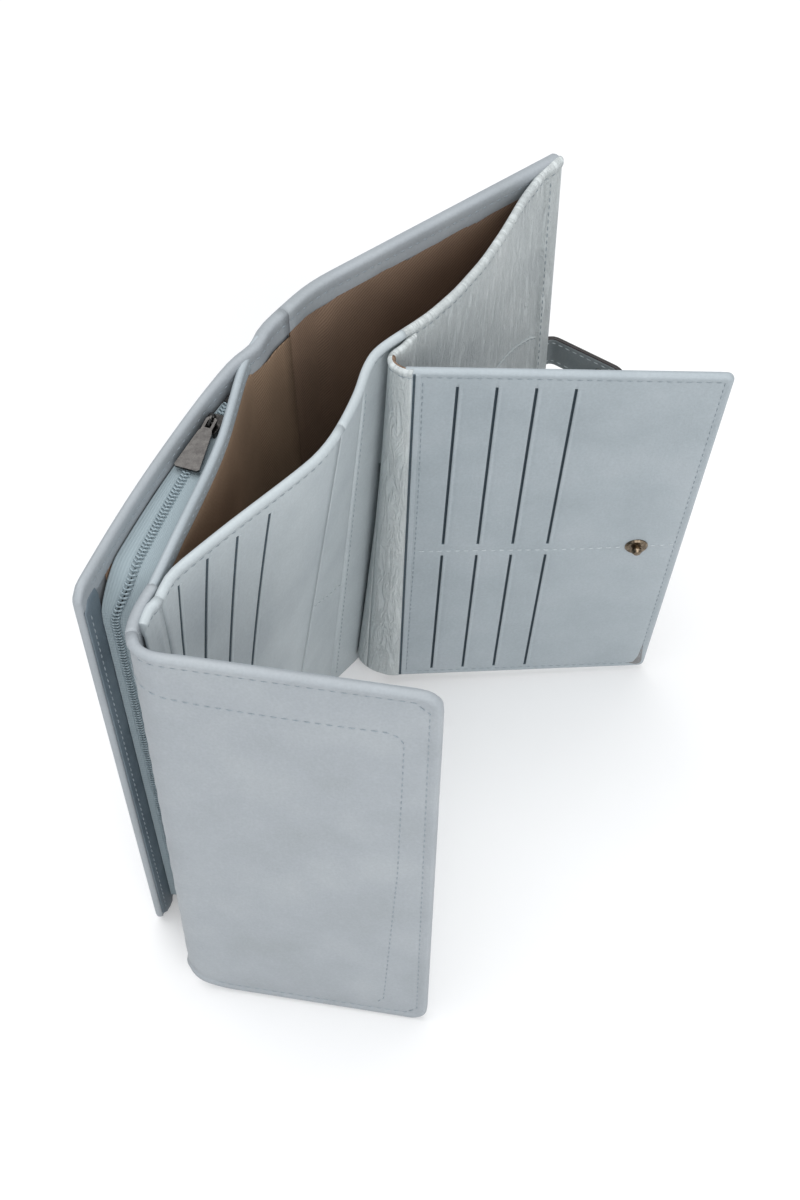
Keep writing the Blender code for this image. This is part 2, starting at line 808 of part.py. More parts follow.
def zip_line():
    """Stations and heights along the zip: the top run, the round corner and the run down."""
    turn_station = zip_side_run - zip_corner_radius
    turn_height = zip_level - zip_corner_radius
    stations = []
    for i in range(zip_coil_knots):
        share = i / zip_coil_knots
        stations.append((zip_start + (turn_station - zip_start) * share, zip_level))
    for i in range(zip_coil_knots // 2):
        turn = math.pi / 2 * i / (zip_coil_knots // 2)
        stations.append((turn_station + zip_corner_radius * math.sin(turn),
                         turn_height + zip_corner_radius * math.cos(turn)))
    for i in range(zip_coil_knots // 2 + 1):
        share = i / (zip_coil_knots // 2)
        stations.append((zip_side_run, turn_height + (zip_foot - turn_height) * share))
    return stations


def tube(name, knots, radius, matrix, body_name, finish, sides=1):
    curve = bpy.data.curves.new(name, "CURVE")
    curve.dimensions = "3D"
    curve.bevel_depth = radius
    curve.bevel_resolution = sides
    curve.use_fill_caps = True
    spline = curve.splines.new("POLY")
    spline.points.add(len(knots) - 1)
    for knot, point in zip(spline.points, knots):
        knot.co = (*point, 1.0)
    return add(name, curve, body_name, finish, matrix)


def zip_tapes():
    """Coil in the middle of the pocket's mouth, with a woven tape on each side of it."""
    knots = []
    outer_rows = []
    inner_rows = []
    stand_off = zip_coil_radius + ply_gap
    seat = ply_gap + zip_tape / 2
    for station, height in zip_line():
        outer, inner = pocket_walls(station)
        middle = (outer + inner) / 2
        across = (outer - inner).normalized()
        knots.append(at_height(middle, height))
        fall = zip_coil_radius * (height - zip_level + zip_corner_radius) / zip_corner_radius
        low = height - max(fall, 0.0) / 2
        outer_rows.append([at_height(outer - across * seat, low),
                           at_height(middle + across * stand_off, low)])
        inner_rows.append([at_height(middle - across * stand_off, low),
                           at_height(inner + across * seat, low)])
    tube("zip_coil", knots, zip_coil_radius, None, "left_half", "zip_coil_blue")
    sheet("zip_tape_outer", outer_rows, zip_tape, "left_half", "zip_tape_blue")
    sheet("zip_tape_inner", inner_rows, zip_tape, "left_half", "zip_tape_blue")


def slide_frame(station):
    """Where the slider stands: its middle over the coil, the way it slides, and across it."""
    start = pocket_middle(slider_station)
    way = (pocket_middle(slider_station + slider_travel) - start).normalized()
    return at_height(start, zip_level) + way * station, way


def block(name, middle, way, length, width, height, body_name, finish):
    """A small box with its length along a plan direction."""
    mesh = bpy.data.meshes.new(name)
    body_mesh = bmesh.new()
    bmesh.ops.create_cube(body_mesh, size=1.0)
    bmesh.ops.scale(body_mesh, vec=(length, width, height), verts=body_mesh.verts)
    body_mesh.to_mesh(mesh)
    body_mesh.free()
    turn = Matrix.Rotation(math.atan2(way.y, way.x), 4, "Z")
    return add(name, mesh, body_name, finish, Matrix.Translation(middle) @ turn)


def zip_stops():
    first, last = zip_line()[0], zip_line()[-1]
    way = slide_frame(0.0)[1]
    top = at_height(pocket_middle(first[0]), zip_level) - way * (zip_stop / 2 + ply_gap)
    block("zip_top_stop", top, way, zip_stop, zip_stop, zip_stop, "left_half", "gunmetal")
    foot = at_height(pocket_middle(last[0]), last[1] - zip_stop / 2 - ply_gap)
    block("zip_end_stop", foot, way, zip_stop, zip_stop, zip_stop, "left_half", "gunmetal")


def zip_slider():
    """A channel over the coil, narrower at its rear, with a wire bail along its back."""
    middle, way = slide_frame(0.0)
    across = right_of(way)
    floor = ply_gap / 2
    taper = slider_length * slider_bevel_share
    stations = (-slider_length / 2, -taper, taper, slider_length / 2)
    shares = (slider_rear_share, 1.0, 1.0, slider_rear_share)
    rings = []
    for along, share in zip(stations, shares):
        half = slider_width / 2 * share
        inside = half - slider_wall
        roof = slider_height - slider_wall
        shape = ((-half, 0.0), (-half, slider_height), (half, slider_height), (half, 0.0), (inside, 0.0),
                 (inside, roof), (-inside, roof), (-inside, 0.0))
        rings.append([middle + way * along + across * a + Vector((0.0, 0.0, floor + h)) for a, h in shape])
    sides = len(rings[0])
    points = [point for ring in rings for point in ring]
    faces = []
    for r in range(len(rings) - 1):
        for i in range(sides):
            following = (i + 1) % sides
            faces.append((r * sides + i, r * sides + following, (r + 1) * sides + following,
                          (r + 1) * sides + i))
    last = (len(rings) - 1) * sides
    faces += [(7, 6, 1, 0), (6, 5, 2, 1), (5, 4, 3, 2)]
    faces += [tuple(last + i for i in face) for face in ((0, 1, 6, 7), (1, 2, 5, 6), (2, 3, 4, 5))]
    body_obj = add("zip_slider_body", mesh_from("zip_slider_body", points, faces), "zip_slider", "gunmetal")
    deck = floor + slider_height
    base = middle + Vector((0.0, 0.0, deck + ply_gap))
    knots = []
    for i in range(bail_steps + 1):
        turn = math.pi * i / bail_steps
        knots.append(base + way * (bail_half_length * math.cos(turn))
                     + Vector((0.0, 0.0, bail_height * math.sin(turn))))
    tube("slider_bail", knots, bail_wire, None, "zip_slider", "gunmetal")
    return body_obj


def pull_axis():
    middle, way = slide_frame(0.0)
    deck = ply_gap / 2 + slider_height
    return middle + Vector((0.0, 0.0, deck + ply_gap + pull_axis_lift)), way


def zip_pull():
    """Flat pull: a ring round the bail, then a plate that widens to its end."""
    hinge, way = pull_axis()
    across = right_of(way)
    down = Vector((0.0, 0.0, -1.0))
    along = (way * math.cos(math.radians(pull_droop)) + down * math.sin(math.radians(pull_droop)))
    matrix = Matrix((along, across, along.cross(across))).transposed().to_4x4()
    matrix.translation = hinge
    bar = pull_window_length * pull_bar_share
    opened = pull_window_length - bar
    neck_length, neck_width = pull_neck_shares
    ring = pull_ring_width / 2
    wide = pull_width / 2
    r = page_corner / 4
    outline = [(-bar, -ring + r), (-bar + r, -ring), (pull_ring_length, -ring)]
    outline += [(pull_ring_length * neck_length, -ring * neck_width), (pull_length - r, -wide)]
    outline += [(pull_length, -wide + r)]
    outline += [(x, -y) for x, y in reversed(outline)]
    half = pull_window_width / 2
    window = [(bar, -half), (bar + opened, -half), (bar + opened, half), (bar, half)]
    flat_ply("zip_pull_plate", [outline, window], pull_sheet, matrix, "zip_pull", "gunmetal")


def tab_path():
    """Plan stations of the tab's middle line from the hinge, with the way it faces at each."""
    outer = lining_cloth + ply_gap + cover_leather + ply_gap
    thickness = tab_leather + ply_gap + tab_leather
    edge = side_seam + right_of(half_way) * (outer + thickness / 2)
    way = -half_way
    first = edge + way * tab_hinge_gap
    stations = [(first, way), (first + way * tab_straight, way)]
    point = stations[-1][0]
    turn = math.radians(tab_bend) / tab_bend_steps
    for i in range(tab_bend_steps):
        chord = 2 * tab_bend_radius * math.sin(turn / 2)
        point = point + (Matrix.Rotation(-turn / 2, 3, "Z") @ way) * chord
        way = Matrix.Rotation(-turn, 3, "Z") @ way
        stations.append((point, way))
    return edge, stations


def tab_plies():
    edge, stations = tab_path()
    bend_point, way = stations[-1]
    half = tab_width / 2
    spans = [(point, facing, half) for point, facing in stations]
    straight = tab_reach - half
    spans.append((bend_point + way * straight, way, half))
    for i in range(1, tab_end_steps):
        turn = math.pi / 2 * i / tab_end_steps
        spans.append((bend_point + way * (straight + half * math.sin(turn)), way, half * math.cos(turn)))
    offset = (tab_leather + ply_gap) / 2
    for name, side, finish in (("tab_leather", -1.0, "cover_leather_blue_grey"),
                               ("tab_lining", 1.0, "panel_leather_grey")):
        rows = []
        for sign in (-1.0, 1.0):
            rows.append([at_height(point + right_of(facing) * (side * offset), tab_middle + sign * reach)
                         for point, facing, reach in spans])
        sheet(name, rows, tab_leather, "closure_tab", finish)
    thickness = tab_leather + ply_gap + tab_leather
    middle = at_height(edge + half_way * (tab_root_length / 2), tab_middle)
    block("tab_root", middle, half_way, tab_root_length, thickness, tab_width, None,
          "cover_leather_blue_grey")


def snap_socket():
    """Socket on the tab's inner side, pinned through to a domed cap on its outer side."""
    point, way = tab_path()[1][-1]
    facing = right_of(way)
    ply = tab_leather + ply_gap / 2 + ply_gap
    seat = at_height(point + way * tab_socket_reach + facing * ply, tab_middle)
    stand = Matrix.Translation(seat) @ facing.to_track_quat("Z", "Y").to_matrix().to_4x4()
    rim = socket_radius
    deep = socket_height
    cup = [
        (0.0, deep * socket_floor_share),
        (socket_bore, deep * socket_floor_share),
        (socket_bore, deep * socket_mouth_shares[1]),
        (socket_bore * socket_mouth_shares[0], deep),
        (rim * socket_rim_shares[0], deep),
        (rim * socket_rim_shares[1], deep * socket_rim_shares[2]),
        (rim, deep * socket_edge_share),
        (rim, 0.0),
        (0.0, 0.0),
    ]
    turned("snap_socket", cup, stand, "closure_tab", "antique_bronze")
    behind = at_height(point + way * tab_socket_reach - facing * ply, tab_middle)
    lie = Matrix.Translation(behind) @ (-facing).to_track_quat("Z", "Y").to_matrix().to_4x4()
    dome = [
        (0.0, cap_height),
        (cap_radius * cap_crown_shares[0], cap_height * cap_crown_shares[1]),
        (cap_radius * cap_shoulder_shares[0], cap_height * cap_shoulder_shares[1]),
        (cap_radius, 0.0),
        (0.0, 0.0),
    ]
    turned("socket_cap", dome, lie, "closure_tab", "antique_bronze")


def tab_axis():
    edge = tab_path()[0]
    return at_height(edge - half_way * (tab_hinge_gap / 2), tab_middle)


def build():
    clear_scene()
    up = Vector((0.0, 0.0, 1.0))
    body("spine", fold_right, up)
    body("left_half", fold_left, up, "spine")
    top, foot = right_crease()[:2]
    body("front_right", top, top - foot)
    left_plane, left_foot = left_panel_plane()
    body("front_left", left_plane.corner, left_plane.corner - left_foot, "left_half")
    turn, fold, axis = page_axes()
    body("page_hinge", turn, axis, "front_right")
    body("card_page", fold, axis, "page_hinge")
    free, flap_fold = flap_axes()
    body("flap_hinge", free, up, "left_half")
    body("left_flap", flap_fold, up, "flap_hinge")
    middle, slide_way = slide_frame(0.0)
    body("zip_slider", middle, slide_way, "left_half")
    hinge, slide_way = pull_axis()
    body("zip_pull", hinge, right_of(slide_way), "zip_slider")
    body("closure_tab", tab_axis(), up)
    cover_boards()
    left_leaf()
    inner_leaf()
    front_right_wall()
    front_right_corner()
    front_left_wall()
    front_left_corner()
    centre_strip()
    card_page()
    page_spine()
    left_flap()
    flap_spine()
    zip_tapes()
    zip_stops()
    zip_slider()
    zip_pull()
    tab_plies()
    snap_socket()


build()
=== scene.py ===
# Travel wallet of pale blue-grey calf leather, standing half open on a white studio floor.
#
# Every panel is built as a ply: a closed skin round a surface, with a round turned edge, a sunk
# stitch channel and its own relief. Threads are sewn into those skins, the zip has a wound coil, and
# soft leather that crosses a hinge is fixed where it stands between the two bodies it joins.
# Metres, in the frame of the imported model: +Z up, +Y away from the opening.

import math

import bpy
import numpy as np
from mathutils import Matrix, Vector

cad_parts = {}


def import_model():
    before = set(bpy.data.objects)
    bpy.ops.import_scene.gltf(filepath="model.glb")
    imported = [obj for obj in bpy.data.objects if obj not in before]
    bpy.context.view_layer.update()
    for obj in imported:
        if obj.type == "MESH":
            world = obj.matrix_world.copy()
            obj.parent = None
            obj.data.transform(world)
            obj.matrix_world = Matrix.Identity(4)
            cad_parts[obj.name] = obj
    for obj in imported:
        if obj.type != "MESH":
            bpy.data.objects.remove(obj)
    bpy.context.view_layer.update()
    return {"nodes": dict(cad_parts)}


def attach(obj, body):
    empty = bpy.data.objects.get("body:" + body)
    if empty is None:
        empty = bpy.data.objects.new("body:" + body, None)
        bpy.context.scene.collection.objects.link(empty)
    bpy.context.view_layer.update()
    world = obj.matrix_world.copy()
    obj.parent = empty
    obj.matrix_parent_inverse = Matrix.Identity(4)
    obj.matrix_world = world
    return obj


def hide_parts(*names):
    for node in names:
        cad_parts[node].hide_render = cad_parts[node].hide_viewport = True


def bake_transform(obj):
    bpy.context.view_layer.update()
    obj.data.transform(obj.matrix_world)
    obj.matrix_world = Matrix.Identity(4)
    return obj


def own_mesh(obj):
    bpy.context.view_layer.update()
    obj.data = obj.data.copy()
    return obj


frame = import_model()

MM = 0.001

# Cover and plies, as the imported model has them
cover_height = 0.190
half_width = 0.1004
spine_width = 0.0265
leaf_width = 0.107
cover_leather = 0.0016
leaf_bow = 0.0030
lining_cloth = 0.0006
ply_gap = 0.0003
thin_leather = 0.0012
facing_height = 0.0085
hem = 0.0015
side_seam = (0.04852, 0.10508)
half_heading = -142.7
spine_heading = -127.0
leaf_heading = -114.9
inner_leaf_heading = -105.9
front_right_heading = -123.9
front_left_heading = 49.2
page_heading = 0.4
page_dip = 2.25
flap_heading = -10.1
flap_dip = 1.0
flap_lean = 0.0056
flap_top = 0.1889
front_height = 0.1875
front_right_width = 0.0975
front_right_lean = 0.018
front_right_slant = 0.0072
front_left_crease = 0.076
inner_leaf_start = 0.0035
inner_leaf_rise = 0.0015
inner_leaf_width = 0.0935
page_width = 0.0992
page_height = 0.180
page_top = 0.1850
page_lean = 0.0177
page_seam = (-0.00438, 0.01238)
slot_first = 0.0160
slot_pitch = 0.0120
slot_count = 4
flap_width = 0.0748
flap_start = (-0.06970, -0.09388)
zip_level = 0.1830
zip_start = 0.0200
zip_side_run = 0.0915
zip_corner_radius = 0.0100
zip_foot = 0.0080
zip_side_shift = 0.0043

# Sewing
stitch_pitch = 0.0030
stitch_share = 0.70
thread_radius = 0.00020
stitch_inset = 0.0042
channel_width = 0.0006
channel_reach = 0.0007
first_stitch = 0.15


def linear(code):
    """An sRGB hex colour as the linear values that a shader takes."""
    parts = [int(code[i:i + 2], 16) / 255 for i in (1, 3, 5)]
    return tuple(c / 12.92 if c <= 0.04045 else ((c + 0.055) / 1.055) ** 2.4 for c in parts) + (1.0,)


def heading(degrees):
    """The level way that one compass angle points, counted from +X."""
    return np.array([math.cos(math.radians(degrees)), math.sin(math.radians(degrees)), 0.0])


def right_of(way):
    """The level way to the right of another."""
    return np.array([way[1], -way[0], 0.0])


def unit(v):
    return v / np.maximum(np.linalg.norm(v, axis=-1, keepdims=True), 1e-12)


def smooth(t):
    """A soft step from 0 to 1."""
    t = np.clip(t, 0.0, 1.0)
    return t * t * (3 - 2 * t)


def hump(q, width):
    """A soft rise of height 1 where q is 0, for seams, beads and folds."""
    return np.exp(-(q / width) ** 2)


def sunk(q, depth=0.0002):
    """How deep a row of stitches pulls the leather in, q away from the row."""
    return depth * hump(q, channel_width)


def distances(points):
    """How far along a line each of its points lies."""
    return np.concatenate([[0.0], np.cumsum(np.linalg.norm(np.diff(points, axis=0), axis=1))])


def points_at(where, marks, points):
    """The points of a line at some distances along it."""
    return np.stack([np.interp(where, marks, points[:, k]) for k in range(3)], axis=-1)


def in_plan(spots, height=0.0):
    """Plan spots measured in millimetres as points at one height."""
    return [np.array([x * MM, y * MM, height]) for x, y in spots]


up = np.array([0.0, 0.0, 1.0])
seam = np.array([*side_seam, 0.0])
half_way, spine_way, leaf_way = heading(half_heading), heading(spine_heading), heading(leaf_heading)
inner_way = heading(inner_leaf_heading)
fold_right = seam + half_way * half_width
fold_left = fold_right + spine_way * spine_width
inner_root = fold_left + leaf_way * inner_leaf_start - right_of(leaf_way) * inner_leaf_rise
inner_edge = inner_root + inner_way * inner_leaf_width
spine_middle = half_width + spine_width / 2


# Materials


class Nodes:
    """A node tree, with calls that add a node, its settings and its links."""

    def __init__(self, tree):
        self.tree = tree

    def add(self, kind, settings=(), links=()):
        node = self.tree.nodes.new("ShaderNode" + kind)
        for key, value in dict(settings).items():
            if isinstance(key, int) or key in node.inputs:
                node.inputs[key].default_value = value
            else:
                setattr(node, key, value)
        for key, source in dict(links).items():
            self.tree.links.new(source, node.inputs[key])
        return node

    def ramp(self, source, stops):
        node = self.add("ValToRGB", (), {0: source})
        while len(node.color_ramp.elements) < len(stops):
            node.color_ramp.elements.new(0.5)
        for element, (place, colour) in zip(node.color_ramp.elements, stops):
            element.position = place
            element.color = colour
        return node.outputs[0]

    def mix(self, share, first, second, blend="MIX"):
        return self.add("MixRGB", {"Fac": share, "blend_type": blend},
                        {"Color1": first, "Color2": second}).outputs[0]

    def noise(self, where, scale, detail, roughness=0.5):
        return self.add("TexNoise", {"Scale": scale, "Detail": detail, "Roughness": roughness},
                        {"Vector": where}).outputs["Fac"]

    def bump(self, strength, distance, height, under=None):
        links = {"Height": height}
        if under:
            links["Normal"] = under
        return self.add("Bump", {"Strength": strength, "Distance": distance}, links).outputs[0]

    def place(self):
        return self.add("TexCoord").outputs["Object"]

    def attribute(self, name, output="Vector"):
        """A skin's own numbers: lay is (x, y) on its surface, rim the distance from its edge."""
        return self.add("Attribute", {"attribute_name": name}).outputs[output]


class Finish(Nodes):
    """A material round one Principled shader."""

    def __init__(self, name):
        self.material = bpy.data.materials.new(name)
        self.material.use_nodes = True
        super().__init__(self.material.node_tree)
        self.shader = self.tree.nodes["Principled BSDF"]

    def set(self, **values):
        for key, value in values.items():
            self.shader.inputs[key.replace("_", " ")].default_value = value

    def link(self, key, source):
        self.tree.links.new(source, self.shader.inputs[key])


def grey(value):
    return (value, value, value, 1.0)


def leather(name, body, light, shade, crease_depth=0.00002, rim_light=0.25):
    """Aniline calf: mottled dye, a fine pebble grain, and turned edges rubbed paler."""
    grain, rough = 0.00085, 0.50
    f = Finish(name)
    place = f.place()
    mottle = f.noise(place, 38.0, 4.0, 0.55)
    dye = f.ramp(mottle, ((0.32, linear(shade)), (0.5, linear(body)), (0.70, linear(light))))
    cells = f.add("TexVoronoi", {"feature": "SMOOTH_F1", "Scale": 1 / grain, "Smoothness": 0.4,
                                 "Randomness": 0.9}, {"Vector": place})
    pebble = f.mix(0.5, cells.outputs["Distance"], f.noise(place, 0.7 / grain, 3.0, 0.6))
    toned = f.mix(1.0, dye, f.ramp(pebble, ((0.25, grey(0.93)), (0.75, grey(1.04)))), "MULTIPLY")
    rubbed = f.add("MapRange", {"From Min": 0.0, "From Max": 0.0022, "To Min": rim_light, "To Max": 0.0},
                   {"Value": f.attribute("rim", "Fac")})
    worn = f.add("MixRGB", {"Color2": linear(light)}, {"Fac": rubbed.outputs[0], "Color1": toned})
    f.link("Base Color", worn.outputs[0])
    f.link("Roughness", f.ramp(mottle, ((0.3, grey(rough + 0.06)), (0.7, grey(rough - 0.06)))))
    f.set(IOR=1.5, Specular_IOR_Level=0.45)
    stretched = f.add("Mapping", {"Scale": (420.0, 60.0, 1.0)}, {"Vector": f.attribute("lay")})
    creases = f.add("TexNoise", {"Scale": 1.0, "Detail": 5.0, "Roughness": 0.62, "Distortion": 0.8},
                    {"Vector": stretched.outputs[0]})
    ridged = f.ramp(creases.outputs["Fac"], ((0.38, grey(0.0)), (0.5, grey(1.0)), (0.62, grey(0.0))))
    relief = f.bump(0.55, 0.00007, pebble)
    relief = f.bump(0.6, crease_depth, ridged, relief)
    f.link("Normal", f.bump(0.35, 0.0004, f.noise(place, 90.0, 2.0), relief))
    return f.material


def twill(name, light, dark, wale=0.0011):
    """Cotton twill lining: slanted wales, drawn half as wide again as real ones so that they show."""
    f = Finish(name)
    lay = f.attribute("lay")
    turned = f.add("Mapping", {"Rotation": (0.0, 0.0, math.radians(58))}, {"Vector": lay})
    wales = f.add("TexWave", {"wave_type": "BANDS", "bands_direction": "X", "Scale": 0.314 / wale,
                              "Distortion": 0.9, "Detail": 2.0, "Detail Scale": 2.0},
                  {"Vector": turned.outputs[0]})
    weave = f.mix(0.4, wales.outputs["Color"], f.noise(lay, 1500.0, 2.0))
    soil = f.ramp(f.noise(f.place(), 45.0, 3.0), ((0.3, grey(0.86)), (0.7, grey(1.08))))
    colour = f.ramp(weave, ((0.1, linear(dark)), (0.9, linear(light))))
    f.link("Base Color", f.mix(1.0, colour, soil, "MULTIPLY"))
    f.set(Roughness=0.88, IOR=1.45, Specular_IOR_Level=0.25)
    f.link("Normal", f.bump(0.7, 0.0002, weave))
    return f.material


def woven_tape(name, light, dark):
    """Polyester zip tape: close cross ribs and a soft herringbone, pale where the light rakes it."""
    f = Finish(name)
    lay = f.attribute("lay")
    ribs = f.add("TexWave", {"wave_type": "BANDS", "bands_direction": "X", "Scale": 420.0,
                             "Distortion": 0.4, "Detail": 1.0}, {"Vector": lay})
    warp = f.add("TexWave", {"wave_type": "BANDS", "bands_direction": "Y", "Scale": 520.0,
                             "Distortion": 0.3}, {"Vector": lay})
    weave = f.mix(0.5, ribs.outputs["Color"], warp.outputs["Color"])
    f.link("Base Color", f.ramp(weave, ((0.1, linear(dark)), (0.9, linear(light)))))
    f.set(Roughness=0.8, IOR=1.5, Specular_IOR_Level=0.3)
    f.link("Normal", f.bump(0.6, 0.00015, weave))
    return f.material


def plain(name, light, dark, scale, rough, metallic=0.0, depth=0.00002):
    """A nearly even surface with fine handling marks: plated metal, nylon, thread or edge paint."""
    f = Finish(name)
    marks = f.noise(f.place(), scale, 4.0, 0.6)
    f.link("Base Color", f.ramp(marks, ((0.35, linear(dark)), (0.65, linear(light)))))
    f.link("Roughness", f.ramp(marks, ((0.3, grey(rough * 0.8)), (0.7, grey(rough * 1.2)))))
    f.set(Metallic=metallic)
    if not metallic:
        f.set(IOR=1.5)
    f.link("Normal", f.bump(0.4, depth, marks))
    return f.material


# Cover, panels and walls are one calf that differs a little in dye and wear. The wall and creased copies
# are that calf made lighter as painted light, standing in for light that the walls, the valley between
# them, the front right panel and the page's spine miss; the creased one, the soft leather at the folds,
# also has deeper creases. The slate copy is that calf made dark as painted shade, and the lit twill is the
# lining made lighter as painted light inside the compartment. The grey thread is the pale thread made
# darker as painted shade.
finishes = {
    "cover_calf": leather("calf_leather_cover", "#9DA3A8", "#A2A8AC", "#999FA3"),
    "panel_calf": leather("calf_leather_panel", "#A3ACB1", "#A8B0B5", "#9EA7AC"),
    # Painted light: a lighter copy of the calf for the front right panel, the notch's edge and the page's
    # spine.
    "creased_calf": leather("calf_leather_creased_painted_light", "#C6CCCC", "#CDD2D2", "#BDC3C4", crease_depth=0.0008),
    # Painted light: a lighter copy of the calf for the left wall, its slit lips, the valley strip and the
    # tucked end.
    "wall_calf": leather("calf_leather_wall_painted_light", "#B5BDC0", "#BAC2C5", "#AFB7BB"),
    "tab_calf": leather("calf_leather_tab_lining", "#838A8C", "#8B9193", "#7A8183"),
    # Painted shade: the calf made dark where the inside of the leaf's free edge and the thumb notch's
    # groove lie in shade.
    "painted_shade_calf": leather("calf_leather_painted_shade", "#66737C", "#737E87", "#5A666F", rim_light=0.1),
    "lining_twill": twill("cotton_twill_brown", "#907866", "#715D4D"),
    # Painted light: a lighter copy of the twill for the inner leaf's lining, deep in the compartment.
    "lit_twill": twill("cotton_twill_brown_lit", "#A48B75", "#816A55"),
    "zip_tape": woven_tape("polyester_tape_blue", "#9EABB0", "#8E9CA2"),
    "zip_nylon": plain("nylon_coil_blue", "#9FAEB4", "#8B9AA1", 900.0, 0.38),
    "thread_pale": plain("polyester_thread_pale", "#CDD4D6", "#B4BCBF", 2400.0, 0.6),
    # Painted shade: the pale thread made darker, for stitches that read dark in their channels.
    "thread_painted_shade": plain("polyester_thread_painted_shade", "#97A1A7", "#838E94", 2400.0, 0.6),
    # Painted shade: the dark of the slits' and slots' mouths and of the line along the page's seam.
    "slit_edge": plain("slit_mouth_painted_shade", "#46545C", "#2F3B43", 1500.0, 0.8),
    "edge_paint": plain("edge_paint_brown_black", "#2E2624", "#1C1716", 700.0, 0.4),
    "gunmetal": plain("plated_zinc_gunmetal", "#5A5856", "#454342", 600.0, 0.24, 1.0, 0.00001),
    "pull_metal": plain("brushed_zinc_pull", "#837F79", "#6D6964", 900.0, 0.42, 1.0, 0.00001),
    "bronze": plain("antique_bronze_snap", "#8C7E6C", "#574B3E", 500.0, 0.28, 1.0, 0.00001),
    "board": plain("grey_board", "#8C8C8C", "#7A7A7A", 300.0, 0.9),
}
slot_finishes = {
    "cover_leather_blue_grey": "cover_calf",
    "panel_leather_grey": "panel_calf",
    "facing_leather_slate": "painted_shade_calf",
    "twill_brown": "lining_twill",
    "zip_tape_blue": "zip_tape",
    "zip_coil_blue": "zip_nylon",
    "gunmetal": "gunmetal",
    "antique_bronze": "bronze",
    "board_grey": "board",
}
finish_slots = {finish: slot for slot, finish in slot_finishes.items()}
finish_slots.update(creased_calf="panel_leather_grey", wall_calf="panel_leather_grey",
                    tab_calf="panel_leather_grey", lit_twill="twill_brown", pull_metal="gunmetal")


def dress_nodes():
    """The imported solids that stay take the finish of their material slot."""
    for name, obj in frame["nodes"].items():
        finish = "board"
        for slot_name in obj.data.materials:
            key = slot_name.name.split(".")[0] if slot_name else ""
            finish = slot_finishes.get(key, finish)
        for i in range(len(obj.material_slots)):
            obj.material_slots[i].material = finishes[finish]


# Surfaces

route_step = 0.0004
closest_marks = 0.00002
slope_reach = 0.0003
roll_shares = (0.0, 0.06, 0.22, 0.5, 1.0)


class Route:
    """A plan line through points, softened at its corners and counted by its length."""

    def __init__(self, points, soften=0.004, bow=None):
        points = np.array(points, float)
        marks = distances(points)
        fine = np.arange(0.0, marks[-1] + route_step / 2, route_step)
        line = points_at(fine, marks, points)
        reach = max(int(soften / route_step), 1)
        first, last = unit(points[1] - points[0]), unit(points[-1] - points[-2])
        before = points[0] - first * (np.arange(reach, 0, -1) * route_step)[:, None]
        after = points[-1] + last * (np.arange(1, reach + 1) * route_step)[:, None]
        wide = np.concatenate([before, line, after])
        weights = np.hanning(2 * reach + 3)[1:-1]
        weights /= weights.sum()
        line = np.stack([np.convolve(wide[:, k], weights, "valid") for k in range(3)], axis=1)
        if bow is not None:
            ways = unit(np.gradient(line, axis=0))
            sides = np.stack([ways[:, 1], -ways[:, 0], np.zeros(len(ways))], axis=1)
            line = line + sides * bow(fine[:len(line)])[:, None]
        self.line, self.marks = line, distances(line)
        self.length = self.marks[-1]

    def at(self, s):
        return points_at(s, self.marks, self.line)


def upright(route, start, top):
    """An upright surface on a plan route: x along it from start, y down from the top."""
    def surface(x, y):
        point = route.at(x + start)
        point[..., 2] = top - y
        return point
    return surface


def between(top, bottom, width, height):
    """A ruled surface between a top and a bottom line with the same count of points."""
    top, bottom = np.array(top), np.array(bottom)
    marks = np.linspace(0.0, 1.0, len(top))

    def surface(x, y):
        u, v = x / width, (y / height)[..., None]
        return points_at(u, marks, top) * (1 - v) + points_at(u, marks, bottom) * v
    return surface


def bend_through(start, start_way, end, end_way, steps=40):
    """Points on a smooth bend that leaves start along one way and reaches end along another."""
    t = np.linspace(0.0, 1.0, steps + 1)[:, None]
    r = 1 - t
    return (start * r ** 3 + (start + start_way) * 3 * r * r * t
            + (end - end_way) * 3 * r * t * t + end * t ** 3)


